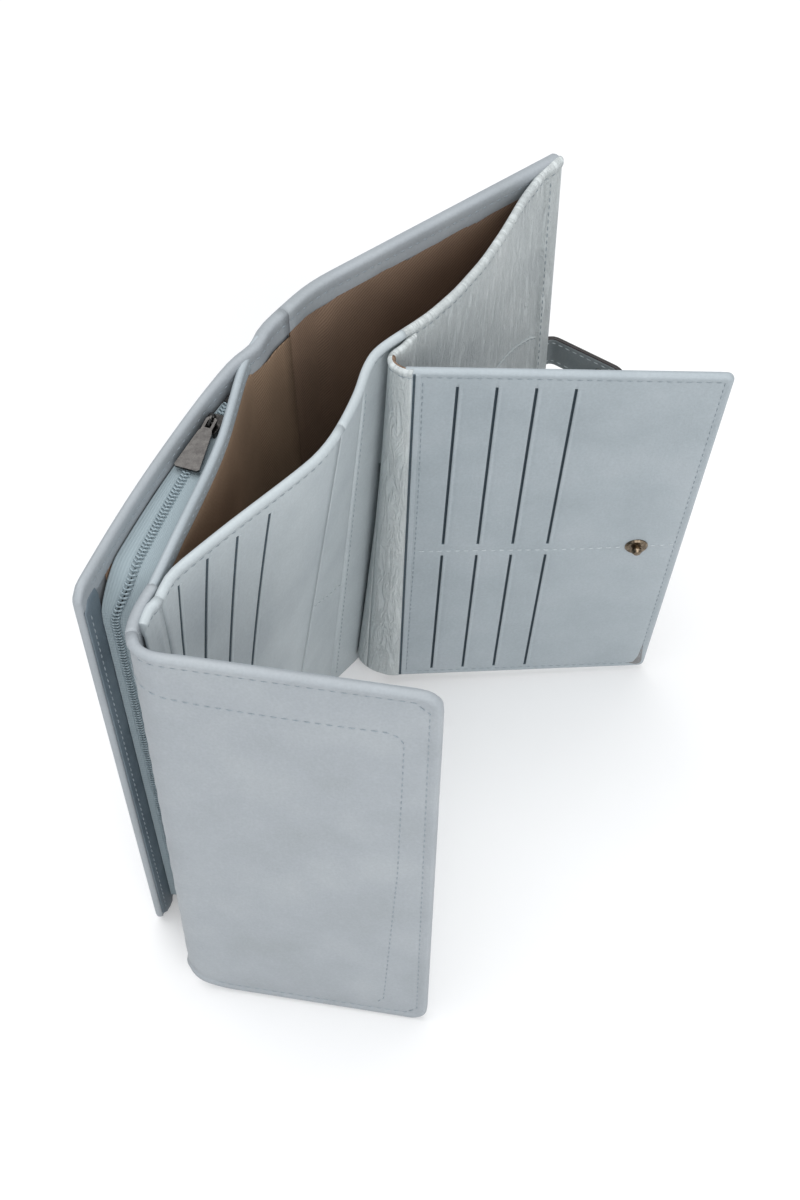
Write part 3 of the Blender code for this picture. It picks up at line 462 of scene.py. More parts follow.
class Ply:
    """A sewn layer: a skin round a surface, with round or flush sides and relief on both faces.

    x runs along the surface and y down it. out is how far the layer's middle stands off the surface,
    radii are the corners from the left top round to the left bottom, roll is how far the round of the
    sides reaches in, and inset is where the stitches lie."""

    def __init__(self, surface, width, height, thickness, out=0.0, radii=(0.0, 0.0, 0.0, 0.0),
                 flush=(), front=None, back=None, roll=None, inset=stitch_inset):
        self.surface, self.width, self.height = surface, width, height
        self.thickness, self.out, self.radii = thickness, out, radii
        self.flush, self.front, self.back = flush, front, back
        self.roll = roll or thickness / 2
        self.inset = inset

    def limits(self, y):
        lt, rt, rb, lb = self.radii
        left, right = np.zeros_like(y), np.full_like(y, self.width)
        for r, deep, side in ((lt, y, 0), (lb, self.height - y, 0), (rt, y, 1), (rb, self.height - y, 1)):
            if r > 0:
                near = np.clip(r - deep, 0.0, r)
                cut = r - np.sqrt(np.maximum(r * r - near * near, 0.0))
                if side:
                    right = np.minimum(right, self.width - cut)
                else:
                    left = np.maximum(left, cut)
        return left, right

    def rim(self, x, y):
        """Distance from a point to the nearest side."""
        far = np.full_like(x, 1.0)
        sides = {"left": x, "right": self.width - x, "top": y, "bottom": self.height - y}
        for name, distance in sides.items():
            if name not in self.flush:
                far = np.minimum(far, distance)
        lt, rt, rb, lb = self.radii
        for r, dx, dy in ((lt, x, y), (rt, self.width - x, y), (rb, self.width - x, self.height - y),
                          (lb, x, self.height - y)):
            if r > 0:
                inside = (dx < r) & (dy < r)
                far = np.where(inside, r - np.hypot(r - dx, r - dy), far)
        return np.maximum(far, 0.0)

    def skin(self, x, y, side=1, lift=0.0):
        """Points on the front (1) or back (-1) face, lifted off it, with the way the face looks."""
        x, y = np.asarray(x, float), np.asarray(y, float)
        point = self.surface(x, y)
        dx = self.surface(x + slope_reach, y) - self.surface(x - slope_reach, y)
        dy = self.surface(x, y + slope_reach) - self.surface(x, y - slope_reach)
        normal = unit(np.cross(dy, dx))
        d = self.rim(x, y)
        share = np.clip(d / self.roll, 0.0, 1.0)
        round_off = np.sqrt(np.maximum(1 - (1 - share) ** 2, 0.0))
        relief = self.front if side > 0 else self.back
        extra = relief(x, y, d) if relief else 0.0
        swell = (self.thickness / 2 + extra) * round_off + lift
        return point + normal * (self.out + side * swell)[..., None], normal * side

    def build(self, name, finish, step=0.003, columns=(), rows=(), inside=None, dark="slit_edge",
              behind=None, painted=0.0):
        """The skin as a mesh. inside marks its dark faces, which are painted shade in a slot's mouth,
        behind is the finish of its back, and painted is how far the dark finish, there a real edge paint,
        reaches in from its edge."""
        rim_marks = [self.roll * k for k in roll_shares]
        pressed = [self.inset - channel_reach, self.inset, self.inset + channel_reach]

        def marks(length, low_side, high_side, extra):
            low, high = ([0.0] if side in self.flush
                         else [m for m in rim_marks + pressed if m < length / 2]
                         for side in (low_side, high_side))
            first, last = low[-1], length - high[-1]
            count = max(int((last - first) / step), 2)
            found = set(low) | {length - m for m in high} | set(np.linspace(first, last, count + 1))
            ordered = sorted(found | {m for m in extra if 0 < m < length})
            kept = [ordered[0]]
            for m in ordered[1:]:
                if m - kept[-1] > closest_marks:
                    kept.append(m)
            kept[-1] = length
            return np.array(kept)

        xs = marks(self.width, "left", "right", columns)
        ys = marks(self.height, "top", "bottom", rows)
        left, right = self.limits(ys)
        y = np.repeat(ys[:, None], len(xs), axis=1)
        share = xs / self.width
        x = np.where((left > 0)[:, None] | (right < self.width)[:, None],
                     left[:, None] + share[None, :] * (right - left)[:, None], xs[None, :])
        front, _ = self.skin(x, y, 1)
        back, _ = self.skin(x, y, -1)
        tall, wide = x.shape
        count = tall * wide
        same = np.linalg.norm(front - back, axis=-1).ravel() < 1e-7
        index = np.arange(count).reshape(tall, wide)
        other = np.where(same, np.arange(count), np.arange(count) + count).reshape(tall, wide)
        distance = self.rim(x, y)
        faces, finish_marks = [], []

        def face(corners, mark=0):
            loop = []
            for c in corners:
                if c not in loop:
                    loop.append(int(c))
            if len(loop) > 2:
                faces.append(loop)
                finish_marks.append(mark)

        for r in range(tall - 1):
            for c in range(wide - 1):
                middle = (x[r, c] + x[r, c + 1]) / 2, (y[r, c] + y[r + 1, c]) / 2
                edge = distance[r:r + 2, c:c + 2].mean() < painted
                # A face in a slot's mouth takes the dark finish as painted shade; a face at a painted edge
                # takes it as real edge paint.
                shadow = edge or (inside is not None and inside(*middle))
                face((index[r, c], index[r + 1, c], index[r + 1, c + 1], index[r, c + 1]),
                     1 if shadow else 0)
                face((other[r, c], other[r, c + 1], other[r + 1, c + 1], other[r + 1, c]),
                     1 if edge else (2 if behind else 0))
        ring = ([(0, c) for c in range(wide)] + [(r, wide - 1) for r in range(1, tall)]
                + [(tall - 1, c) for c in range(wide - 2, -1, -1)]
                + [(r, 0) for r in range(tall - 2, 0, -1)])
        for a, b in zip(ring, ring[1:] + ring[:1]):
            face((index[a], index[b], other[b], other[a]), 1 if painted else 0)
        points = np.concatenate([front.reshape(-1, 3), back.reshape(-1, 3)])
        lay = np.stack([np.concatenate([x.ravel()] * 2), np.concatenate([y.ravel()] * 2),
                        np.zeros(2 * count)], axis=1)
        rim = np.concatenate([distance.ravel()] * 2)
        obj = skin_object(name, points, faces, finish, lay, rim)
        if any(finish_marks):
            obj.data.materials.append(finishes[dark])
            obj.data.materials.append(finishes[behind or dark])
            obj.data.polygons.foreach_set("material_index", finish_marks)
        return obj


def into_scene(name, data):
    obj = bpy.data.objects.new(name, data)
    bpy.context.scene.collection.objects.link(obj)
    return obj


def skin_object(name, points, faces, finish, lay=None, rim=None):
    """A smooth mesh object without the points that no face uses."""
    used = sorted({i for f in faces for i in f})
    renumbered = {old: new for new, old in enumerate(used)}
    mesh = bpy.data.meshes.new(name)
    mesh.from_pydata([tuple(points[i]) for i in used], [], [[renumbered[i] for i in f] for f in faces])
    mesh.polygons.foreach_set("use_smooth", [True] * len(mesh.polygons))
    if lay is not None:
        mesh.attributes.new("lay", "FLOAT_VECTOR", "POINT").data.foreach_set("vector", lay[used].ravel())
    if rim is not None:
        mesh.attributes.new("rim", "FLOAT", "POINT").data.foreach_set("value", rim[used])
    mesh.update()
    mesh.materials.append(finishes[finish])
    obj = into_scene(name, mesh)
    return obj


def place_on(obj, holder):
    """A piece rides on one body; one between two, given as (body, body, start, end), is only fixed
    where it stands.
    """
    if isinstance(holder, str):
        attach(obj, holder)
    else:
        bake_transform(obj)
    return obj


def channel(distance):
    """A stitch line pressed into the leather at one distance from the rim."""
    return lambda x, y, d: -sunk(d - distance, 0.00018)


def put(ply, holder, nodes, name, finish, step, **marks):
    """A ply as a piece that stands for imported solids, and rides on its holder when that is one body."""
    obj = ply.build(name, finish, step, **marks)
    if nodes:
        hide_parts(*nodes)
    return place_on(obj, holder)


def line_leather(ply, holder, nodes, name, finish, step):
    """A lining: a flat cloth on the leather that it rests on, which the real one is sewn to along its
    sides.
    """
    obj = ply.build(name, finish, step)
    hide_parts(*nodes)
    place_on(obj, holder)


def ring_faces(first, rings, sides):
    """The faces between rings of points, with a cap at both ends."""
    faces = []
    for k in range(rings - 1):
        for j in range(sides):
            a, b = first + k * sides + j, first + k * sides + (j + 1) % sides
            faces.append([a, b, b + sides, a + sides])
    faces.append([first + j for j in range(sides - 1, -1, -1)])
    faces.append([first + (rings - 1) * sides + j for j in range(sides)])
    return faces


# Stitches take the darker thread unless told otherwise: painted shade on the pale thread.
def sew(name, ply, path, holder, side=1, finish="thread_painted_shade"):
    """Saddle stitches along a path of (x, y) on a ply's face."""
    path = np.array(path, float)
    marks = distances(path)
    count = max(int(marks[-1] / stitch_pitch), 1)
    starts = (np.arange(count) + first_stitch) * (marks[-1] / count)
    points, faces = [], []
    rings, sides = 5, 6
    for s in starts:
        along = s + np.linspace(0.0, 1.0, rings) * (marks[-1] / count) * stitch_share
        x = np.interp(along, marks, path[:, 0])
        y = np.interp(along, marks, path[:, 1])
        base, look = ply.skin(x, y, side)
        way = unit(base[-1] - base[0])
        for k in range(rings):
            arch = math.sin(math.pi * k / (rings - 1))
            across = unit(np.cross(look[k], way))
            r = thread_radius * (0.45 + 0.55 * arch)
            centre = base[k] + look[k] * thread_radius * (arch * 0.9 - 0.5)
            for j in range(sides):
                turn = 2 * math.pi * j / sides
                points.append(centre + across * r * math.cos(turn) + look[k] * r * math.sin(turn))
        faces += ring_faces(len(points) - rings * sides, rings, sides)
    return place_on(skin_object(name, np.array(points), faces, finish), holder)


def level_row(ply, depth, start, end):
    """A row at one depth under the top, from start to as far as end from the far side."""
    return [(start, depth), (ply.width - end, depth)]


def rim_row(ply, inset, start, end, corner=0.0):
    """A row along the top, down the far side and back to end, with its corners cut if need be."""
    far, low = ply.width - inset, ply.height - inset
    turns = [(far, inset), (far, low)] if not corner else [
        (far - corner, inset), (far, inset + corner), (far, low - corner), (far - corner, low)]
    return [(start, inset), *turns, (end, low)]


def tube(name, line, radius, finish, sides):
    """A closed tube along a line of points, with a parallel frame and capped ends."""
    line = np.array(line)
    ways = unit(np.gradient(line, axis=0))
    side = unit(np.cross(ways[0], up if abs(ways[0][2]) < 0.9 else np.array([1.0, 0.0, 0.0])))
    radius = np.broadcast_to(radius, (len(line),))
    points = []
    for k, (point, way) in enumerate(zip(line, ways)):
        side = unit(side - way * side.dot(way))
        rise = np.cross(way, side)
        for j in range(sides):
            turn = 2 * math.pi * j / sides
            points.append(point + (side * math.cos(turn) + rise * math.sin(turn)) * radius[k])
    return skin_object(name, np.array(points), ring_faces(0, len(line), sides), finish)


# Cover, lining and leaves

fold_pinch = 0.0018
leaf_swell = 0.0005
leaf_facing = 0.0055


def cover_bow(s):
    """How far the cover stands out of its boards' line: pinched at the left fold, full in the leaf."""
    along = s - half_width - spine_width
    return (leaf_bow * np.sin(math.pi * np.clip(along / leaf_width, 0.0, 1.0))
            - fold_pinch * hump(along - 0.004, 0.0060)
            + leaf_swell * hump(along - 0.028, 0.0160))


cover_route = Route([seam, fold_right, fold_left, fold_left + leaf_way * leaf_width], 0.012, cover_bow)
# The inner leaf's rim seen from above, from the left fold to the pocket's edge
leaf_points = ((-50.6, 16.0), (-52.4, 8.7), (-53.7, 0.6), (-56.0, -13.8), (-59.3, -26.5), (-63.2, -38.8),
               (-67.0, -50.8), (-70.2, -61.7))
leaf_line = in_plan(leaf_points) + [inner_edge]
leaf_route = Route([fold_left - spine_way * 0.0010 + leaf_way * 0.0010] + leaf_line, 0.008)
# The leaf's lining follows the cover as far as the pinch, and the leaf from there
inner_spine = Route([cover_route.at(spine_middle + q) for q in (0.0, 0.003, 0.006, 0.009, 0.0115, 0.0135)]
                    + leaf_line, 0.003)
cover_out = lining_cloth + ply_gap + cover_leather / 2
bend_reach = 0.005
at_right_fold = ("right_half", "spine",
                 fold_right - half_way * bend_reach, fold_right + spine_way * bend_reach)
at_left_fold = ("spine", "left_half",
                fold_left - spine_way * bend_reach, fold_left + leaf_way * bend_reach)

padding = 0.0015
cover_rim = 0.0014
leaf_hem = 0.0012
shade_strip_width = 0.0092
leaf_inset = 0.0034
facing_stand = lining_cloth + ply_gap
facing_ramp = 0.0004
facing_tuck = 0.0006
facing_steps = (-0.0006, -0.0002, 0.0003, 0.0008)


def turned_edge(facing, wave, inset):
    """Leather turned over the top edge as far as a facing that is cut a little unevenly."""
    def relief(x, y, d):
        edge = facing + wave * np.sin(x * 310.0) * np.sin(x * 97.0 + 1.0)
        return facing_stand * (1 - smooth((y - edge) / facing_ramp)) - sunk(y - inset, 0.00015)
    return relief


turned_over = turned_edge(facing_height, 0.0004, stitch_inset)


def cover_outside(x, y, d):
    """The padded back of the right half, with a full rim and its stitch line."""
    return padding + 0.00045 * hump(d - 0.0014, 0.0012) - sunk(d - stitch_inset)


def leaf_outside(x, y, d):
    """The same padding, thinning out over the left leaf."""
    return cover_outside(x, y, d) - padding * smooth(x / 0.050)


def cover():
    """The cover's leather in two pieces that meet in the middle of the spine."""
    facing_rows = [facing_height + q for q in facing_steps]
    right = Ply(upright(cover_route, 0.0, cover_height), spine_middle, cover_height, cover_leather,
                cover_out, (0.0008, 0.0, 0.0, 0.0015), ("right",), cover_outside, turned_over, cover_rim)
    put(right, at_right_fold, ("outer_cover_right", "outer_cover_spine", "top_facing_right",
                               "top_facing_spine"), "cover_leather_right", "cover_calf", 0.0035,
        rows=facing_rows)
    sew("cover_stitch_inside_right", right, level_row(right, stitch_inset, 0.004, 0.0), at_right_fold, -1)
    sew("cover_stitch_outside_right", right,
        [(spine_middle, cover_height - stitch_inset), (stitch_inset, cover_height - stitch_inset),
         (stitch_inset, stitch_inset), (spine_middle, stitch_inset)], at_right_fold, 1)
    left_length = cover_route.length - spine_middle

    def turned_over_edges(x, y, d):
        """Top facing, and the narrower turned edge down the leaf's free side."""
        side = facing_stand * (1 - smooth((left_length - x - leaf_hem) / facing_ramp))
        return np.maximum(turned_over(x, y, d), side)

    left = Ply(upright(cover_route, spine_middle, cover_height), left_length, cover_height, cover_leather,
               cover_out, (0.0, 0.006, 0.005, 0.0), ("left",), leaf_outside, turned_over_edges, cover_rim)
    put(left, at_left_fold, ("outer_cover_left", "leaf_top_facing"), "cover_leather_left", "cover_calf",
        0.0035, rows=facing_rows,
        columns=[left_length - leaf_hem + q for q in (-0.0008, -0.0003, 0.0002, 0.0006)])
    sew("cover_stitch_inside_left", left, level_row(left, stitch_inset, 0.001, 0.008), at_left_fold, -1)
    sew("cover_stitch_outside_left", left,
        [(0.001, stitch_inset), (left_length - stitch_inset - 0.002, stitch_inset),
         (left_length - stitch_inset, stitch_inset + 0.002),
         (left_length - stitch_inset, cover_height - stitch_inset), (0.001, cover_height - stitch_inset)],
        at_left_fold, 1)
    return left


def lining_ripple(x, y, d):
    """The lining stands off the board in long soft folds and sinks at the fold line."""
    return (0.00035 * np.sin(x * 95.0 + y * 20.0) * smooth(y / 0.03)
            + 0.00110 * hump(x - half_width + 0.0045 - y * 0.05, 0.0030) * smooth(y / 0.010)
            + 0.00080 * hump(x - half_width - 0.0070 + y * 0.03, 0.0024) * smooth(y / 0.030)
            + 0.00060 * hump(x - half_width + 0.0160 - y * 0.07, 0.0040) * smooth(y / 0.040)
            - 0.0004 * hump(x - half_width, 0.0025))


def cloth_on(face, width, height, out=lining_cloth / 2, flush=(), back=None):
    """The ply of a lining cloth: thin, square cut, with its sides tucked under leather."""
    return Ply(face, width, height, lining_cloth, out, flush=flush, back=back, roll=lining_cloth / 2)


def linings():
    """The twill of the cover's right half and spine, and of the inner leaf."""
    right = cloth_on(upright(cover_route, 0.0, cover_height - (facing_height - facing_tuck)),
                     spine_middle, cover_height - facing_height - hem, flush=("right",),
                     back=lining_ripple)
    line_leather(right, at_right_fold,
                 ("twill_lining_right", "twill_lining_spine"), "twill_lining_cover", "lining_twill", 0.004)
    deep = front_height - leaf_facing - hem

    def inner_face(x, y):
        """Its top sinks to the cover's facing where the leaf meets the fold."""
        point = inner_spine.at(x)
        sink = (facing_height - leaf_facing) * (1 - smooth((x - 0.012) / 0.012)) * (1 - y / deep)
        point[..., 2] = front_height - leaf_facing + facing_tuck - y - sink
        return point

    # The inner leaf's lining takes the lighter twill copy: painted light in the compartment's shade.
    line_leather(cloth_on(inner_face, inner_spine.length, deep, flush=("left",)),
                 at_left_fold, ("inner_leaf_lining",), "twill_lining_inner_leaf", "lit_twill", 0.004)


# The zip pocket's walls

wall_out = ply_gap + lining_cloth + ply_gap + thin_leather / 2
bead_depth = 0.0060
bead_inset = 0.0013
wall_rim = 0.0013


def beaded(x, y, d):
    """A plump turned edge with the stitch channel under it."""
    return 0.00055 * hump(d - bead_inset, 0.0013) - sunk(d - stitch_inset)


def turned_in(x, y, d):
    """Leather turned over the top edge onto the lining side."""
    edge = bead_depth + 0.0003 * np.sin(x * 260.0 + 2.0)
    return facing_stand * (1 - smooth((y - edge) / facing_ramp))


def inner_leaf():
    """The inner leaf, whose top climbs to the cover's where it meets the fold."""
    def face(x, y):
        point = leaf_route.at(x)
        climb = (1 - smooth(x / 0.022)) * (cover_height / front_height - 1)
        point[..., 2] = (front_height - y) * (1 + climb)
        return point

    ply = Ply(face, leaf_route.length, front_height, thin_leather, facing_stand + thin_leather / 2,
              (0.0, 0.003, 0.003, 0.0), (), beaded, turned_edge(leaf_facing, 0.0003, leaf_inset),
              wall_rim)
    put(ply, "left_half", ("inner_leaf", "inner_leaf_facing"), "inner_leaf_leather", "panel_calf", 0.004,
        rows=[leaf_facing + q for q in facing_steps])
    sew("inner_leaf_stitch", ply, level_row(ply, leaf_inset, 0.004, 0.004), "left_half", -1)
    sew("inner_leaf_stitch_zip_side", ply, level_row(ply, stitch_inset, 0.004, 0.004), "left_half")


def pocket_faces(left):
    """What lines the outer leaf inside the zip pocket: twill, and down its free edge a dark strip that is
    painted shade, where the inside of the leaf's leather lies in shade.
    """
    side = left.width - 0.0150
    start = spine_width / 2 + 0.010
    base = upright(cover_route, spine_middle + start, cover_height - facing_height + facing_tuck)
    line_leather(cloth_on(base, side - start, cover_height - facing_height - hem),
                 "left_half", ("pocket_lining",), "twill_lining_zip_pocket", "lining_twill", 0.006)
    # The dark strip down the free edge is painted shade on the shaded inside of the leaf's leather.
    base = upright(cover_route, spine_middle + left.width - shade_strip_width,
                   cover_height - stitch_inset - 0.0018)
    strip = Ply(base, shade_strip_width - leaf_hem, cover_height - stitch_inset - 0.0038, lining_cloth + 0.0003,
                (lining_cloth - 0.0003) / 2, (0.002, 0.004, 0.004, 0.002), roll=0.0004)
    put(strip, "left_half", ("leaf_edge_facing",), "painted_shade_edge_facing", "painted_shade_calf", 0.004)
    row = strip.width - 0.0022
    sew("slate_facing_stitch", strip, [(row, 0.006), (row, strip.height - 0.004)], "left_half", -1)


# The front wall of the bill compartment

right_along = heading(front_right_heading)
right_top = seam - right_of(half_way) * ply_gap
right_foot = right_top + right_of(right_along) * front_right_lean
gap_x, gap_y = (right_top - right_foot)[:2]
right_across = ((gap_x * half_way[1] - gap_y * half_way[0])
                / (right_along[0] * half_way[1] - right_along[1] * half_way[0]))
right_crease_foot = right_foot + right_along * right_across
right_end_foot = right_foot + right_along * (front_right_width - front_right_slant)
left_along = heading(front_left_heading)
left_top = inner_edge - right_of(inner_way) * ply_gap
left_foot = left_top - inner_way * front_left_crease
wall_ref = 0.0975
left_ref = 0.0775
strip_ref = 0.0400

# The front wall's rim seen from above, from the pocket's edge by the centre to the side seam
rim_points = ((-71.0, -64.8), (-69.8, -62.7), (-63.1, -55.3), (-54.5, -46.1), (-45.6, -37.1),
              (-38.4, -29.8), (-31.0, -21.9), (-26.5, -14.4), (-22.8, -5.6), (-19.4, 4.3), (-17.7, 12.6),
              (-14.9, 19.9), (-9.6, 25.4), (-4.6, 29.7), (2.5, 36.1), (11.0, 46.3), (19.8, 59.9),
              (26.8, 73.7), (33.9, 89.8), (40.0, 100.7))
seam_close = ply_gap + lining_cloth + ply_gap + lining_cloth + ply_gap
left_start = left_top + inner_way * 0.0012
rim_route = Route([left_start] + in_plan(rim_points) + [seam + right_of(half_way) * seam_close], 0.0070)
left_wall_end = 0.0792
right_wall_end = rim_route.length - 0.0955
right_foot_route = Route([seam + right_of(half_way) * seam_close,
                          seam + half_way * 0.012 - right_of(half_way) * ply_gap,
                          right_crease_foot, right_end_foot], 0.004)
# The foot of the left wall and of the strip, as far as the valley beside the page
foot_points = ((-43.5, 18.0), (-35.5, 30.0), (-26.2, 40.5), (-22.2, 47.5), (-20.5, 49.0))
left_foot_length = np.linalg.norm(left_foot - left_start)
foot_route = Route([left_start, left_foot] + in_plan(foot_points) + [right_end_foot], 0.0045)


def ruled(rim_start, rim_end, route, foot_start, foot_end, width):
    """A wall between a stretch of the rim and one of its foot line, x counted from start to end."""
    def surface(x, y):
        share, v = x / width, (y / front_height)[..., None]
        point = (rim_route.at(rim_start + (rim_end - rim_start) * share) * (1 - v)
                 + route.at(foot_start + (foot_end - foot_start) * share) * v)
        point[..., 2] = front_height * (1 - v[..., 0])
        return point
    return surface


left_wall_surface = ruled(0.0, left_wall_end, foot_route, 0.0, left_foot_length, left_ref)
strip_surface = ruled(left_wall_end, right_wall_end, foot_route, left_foot_length, foot_route.length,
                      strip_ref)
right_wall_plain = ruled(rim_route.length, right_wall_end, right_foot_route, 0.0,
                         right_foot_route.length, wall_ref)


def right_wall_surface(x, y):
    """The right wall, whose rim climbs to the cover's corner at the side seam."""
    point = right_wall_plain(x, y)
    point[..., 2] += (1 - smooth(x / 0.016)) * (cover_height - front_height) * (1 - y / front_height)
    return point


def crease_bend(top, foot, along, a, b):
    """The bodies and the two points on either side of a front panel's slanted crease."""
    high, low = top + up * front_height, foot
    line = unit(high - low)
    across = unit(along - line * along.dot(line))
    middle = (high + low) / 2
    return a, b, middle - across * 0.004, middle + across * 0.004


def wall_bead(x, y, d):
    """A rolled rim along the top only, with its stitch channel."""
    return 0.00085 * hump(y - bead_inset, 0.0016) - sunk(y - stitch_inset, 0.00022)


def wall_ply(surface, width, out, flush, front, back):
    """A front wall's leather, its rim rolled and turned over to the lining side."""
    return Ply(surface, width, front_height, thin_leather, out, (0.0,) * 4, flush, front, back, wall_rim)


def line_wall(panel, surface, width, out, holder):
    """The lining behind one front panel, from under its turned edge down."""
    cloth = cloth_on(lambda x, y: surface(x, y + bead_depth - facing_tuck), width,
                     front_height - bead_depth - hem, out, ("right",))
    line_leather(cloth, holder, (panel + "_lining",), "twill_lining_" + panel,
                 "lining_twill", 0.005)


def slit(name, wall, top, bottom, holder, finish, width=0.0008, lip=0.0017):
    """A slit's mouth along a slanted path on a wall, a dark strip of painted shade where the pocket
    behind lies in shade, and the turned lip of leather beyond it.
    """
    top, bottom = np.array(top), np.array(bottom)
    length = np.linalg.norm(bottom - top)
    way = (bottom - top) / length
    for tail, first, wide, thick, look, relief in (
            ("_mouth", -width / 2, width, 0.00034, "slit_edge", None),
            ("_lip", width / 2, lip, 0.00060, finish, lambda x, y, d: -0.00022 * smooth(x / lip))):
        def face(x, y, first=first):
            px = top[0] + way[0] * y + way[1] * (x + first)
            py = top[1] + way[1] * y - way[0] * (x + first)
            return wall.skin(px, py)[0]

        put(Ply(face, wide, length, thick, front=relief), holder, (), name + tail, look, 0.004)


bead_rows = (0.0022, 0.0030, bead_depth - 0.0004, bead_depth, bead_depth + 0.0005)
# The thumb notch pressed into the right panel: its stitched outline, from the strip outwards
notch_path = ((0.0440, 0.0690), (0.0350, 0.0672), (0.0280, 0.0669), (0.0216, 0.0678), (0.0160, 0.0692),
              (0.0120, 0.0708), (0.0080, 0.0735))
# The left panel's card slits: top and bottom end of each
slit_paths = (((0.0100, 0.0066), (0.0036, 0.0600)), ((0.0216, 0.0059), (0.0087, 0.1000)),
              ((0.0331, 0.0068), (0.0211, 0.1000)), ((0.0455, 0.0080), (0.0340, 0.1000)))


def right_wall():
    """The front right panel: creased leather, folded over at its side seam, with half a thumb notch."""
    holder = crease_bend(right_top, right_crease_foot, right_along, "right_half", "front_right")
    seam_at, seam_clear = 0.0075, 0.013

    def face(x, y, d):
        ridge = smooth((seam_at - x) / 0.0006) - 0.6 * hump(x - seam_at, 0.0004)
        return wall_bead(x, y, d) + 0.0006 * ridge

    ply = wall_ply(right_wall_surface, wall_ref, -wall_out, ("right",), turned_in, face)
    # The right panel takes the lighter creased copy: painted light.
    put(ply, holder, ("front_right_panel", "front_right_corner"), "front_right_leather", "creased_calf",
        0.0035, rows=bead_rows, columns=[seam_at + q for q in (-0.0022, -0.0012, -0.0006, 0.0, 0.0004)])
    sew("front_right_top_stitch", ply, level_row(ply, stitch_inset, 0.003, 0.001), holder, -1)
    sew("front_right_seam_stitch", ply, [(0.0058, 0.006), (0.0058, front_height - 0.004)], holder, -1)
    rows = [[(x, y + grow) for x, y in notch_path] for grow in (0.0, 0.0016)]
    for row, path in enumerate(rows):
        sew("thumb_notch_stitch_%d" % row, ply, path, holder, -1, "thread_pale")
    line = np.array(rows[-1])
    marks = np.linspace(0, len(line) - 1, 50)
    xs, ys = (np.interp(marks, np.arange(len(line)), line[:, k]) for k in (0, 1))
    # The notch's edge takes the lighter creased copy, painted light, and the dark tube in the groove under
    # it is painted shade.
    for name, shift, radius, finish in (("thumb_notch_edge", -0.0008, 0.00045, "creased_calf"),
                                        ("thumb_notch_groove", -0.0001, 0.00020, "painted_shade_calf")):
        place_on(tube(name, ply.skin(xs, ys + shift, -1, -0.00012)[0], radius, finish, 8), holder)
    line_wall("front_right", lambda x, y: right_wall_surface(x + seam_clear, y), wall_ref - seam_clear,
              -(ply_gap + lining_cloth / 2), holder)


def left_wall():
    """The front left panel, with four card slits that slant a little."""
    holder = crease_bend(left_top, left_foot, left_along, "left_half", "front_left")
    ply = wall_ply(left_wall_surface, left_ref, wall_out, ("left", "right"), wall_bead, turned_in)
    # The left wall and its slit lips take the lighter wall copy: painted light.
    put(ply, holder, ("front_left_panel", "front_left_corner"), "front_left_leather", "wall_calf", 0.0035,
        rows=bead_rows)
    sew("front_left_top_stitch", ply, level_row(ply, stitch_inset, 0.003, 0.001), holder)
    for count, (top, bottom) in enumerate(slit_paths):
        slit("front_left_slit_%d" % count, ply, top, bottom, holder, "wall_calf")
    line_wall("front_left", left_wall_surface, left_ref, ply_gap + lining_cloth / 2, holder)


def centre_strip():
    """The soft valley of leather between the two front panels, with the rest of the thumb notch."""
    strip_seam = 0.0187
    holder = "front_right"

    def face(x, y, d):
        return (wall_bead(x, y, d) + (0.0004 * smooth((x - strip_seam) / 0.0005)
                                      - 0.0003 * hump(x - strip_seam, 0.0004)) * smooth(y / 0.02))

    ply = wall_ply(strip_surface, strip_ref, wall_out, ("left", "right"), face, turned_in)
    # The valley strip takes the lighter wall copy: painted light in the valley's shade.
    leather_piece = put(ply, holder, ("centre_strip",), "centre_strip_leather", "wall_calf", 0.0015,
                        rows=(0.0022, 0.0030),
                        columns=[strip_seam + q for q in (-0.0006, -0.0003, 0.0, 0.0003, 0.0006)])
    beside = strip_seam + 0.0018
    notch = [(0.0010, 0.0965), (0.0040, 0.0995), (0.0095, 0.1055), (0.0149, 0.1104), (0.0180, 0.1132)]
    stitches = (
        sew("centre_strip_stitch", ply, level_row(ply, stitch_inset, 0.001, 0.001), holder),
        sew("centre_strip_seam_stitch", ply, [(beside, 0.010), (beside, front_height - 0.006)], holder),
        sew("centre_strip_notch_stitch", ply, notch, holder, 1, "thread_pale"),
    )
    # The real strip crumples as the wallet folds and gathers against the right wall; here only its corners
    # are looked up and its pieces given meshes of their own, and nothing gathers it.
    left_end, left_low, right_end, right_low = strip_surface(
        np.array([0.0, 0.0, strip_ref, strip_ref]), np.array([0.0, front_height] * 2))
    for soft in (leather_piece,) + stitches:
        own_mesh(soft)


# The card page

level = heading(page_heading)
page_front_way = right_of(level)
page_along = level * math.cos(math.radians(page_dip)) - up * math.sin(math.radians(page_dip))
page_corner_point = np.array([*page_seam, page_top])
page_down = unit(-up * page_height - page_front_way * page_lean)
page_down = unit(page_down - page_along * page_along.dot(page_down))
# How far the page's corners stand out of its plane: left top, right top, left low, right low
page_twist = (0.0, 0.0015, 0.0034, -0.0016)
page_inset = 0.0027
page_middle = 0.0950
face_thick = 0.0028
face_rim = 0.0013
# The two rows of slots, each from its top to its bottom, and the lines where a slot's leather is bent
slot_spans = ((0.0067, 0.0910), (0.0978, 0.1752))
slot_marks = (-0.0015, -0.0009, -0.00045, -0.00035, 0.00035, 0.00045, 0.0009, 0.0014, 0.0017, 0.0021)
page_laps = (0.0026, 0.0038)


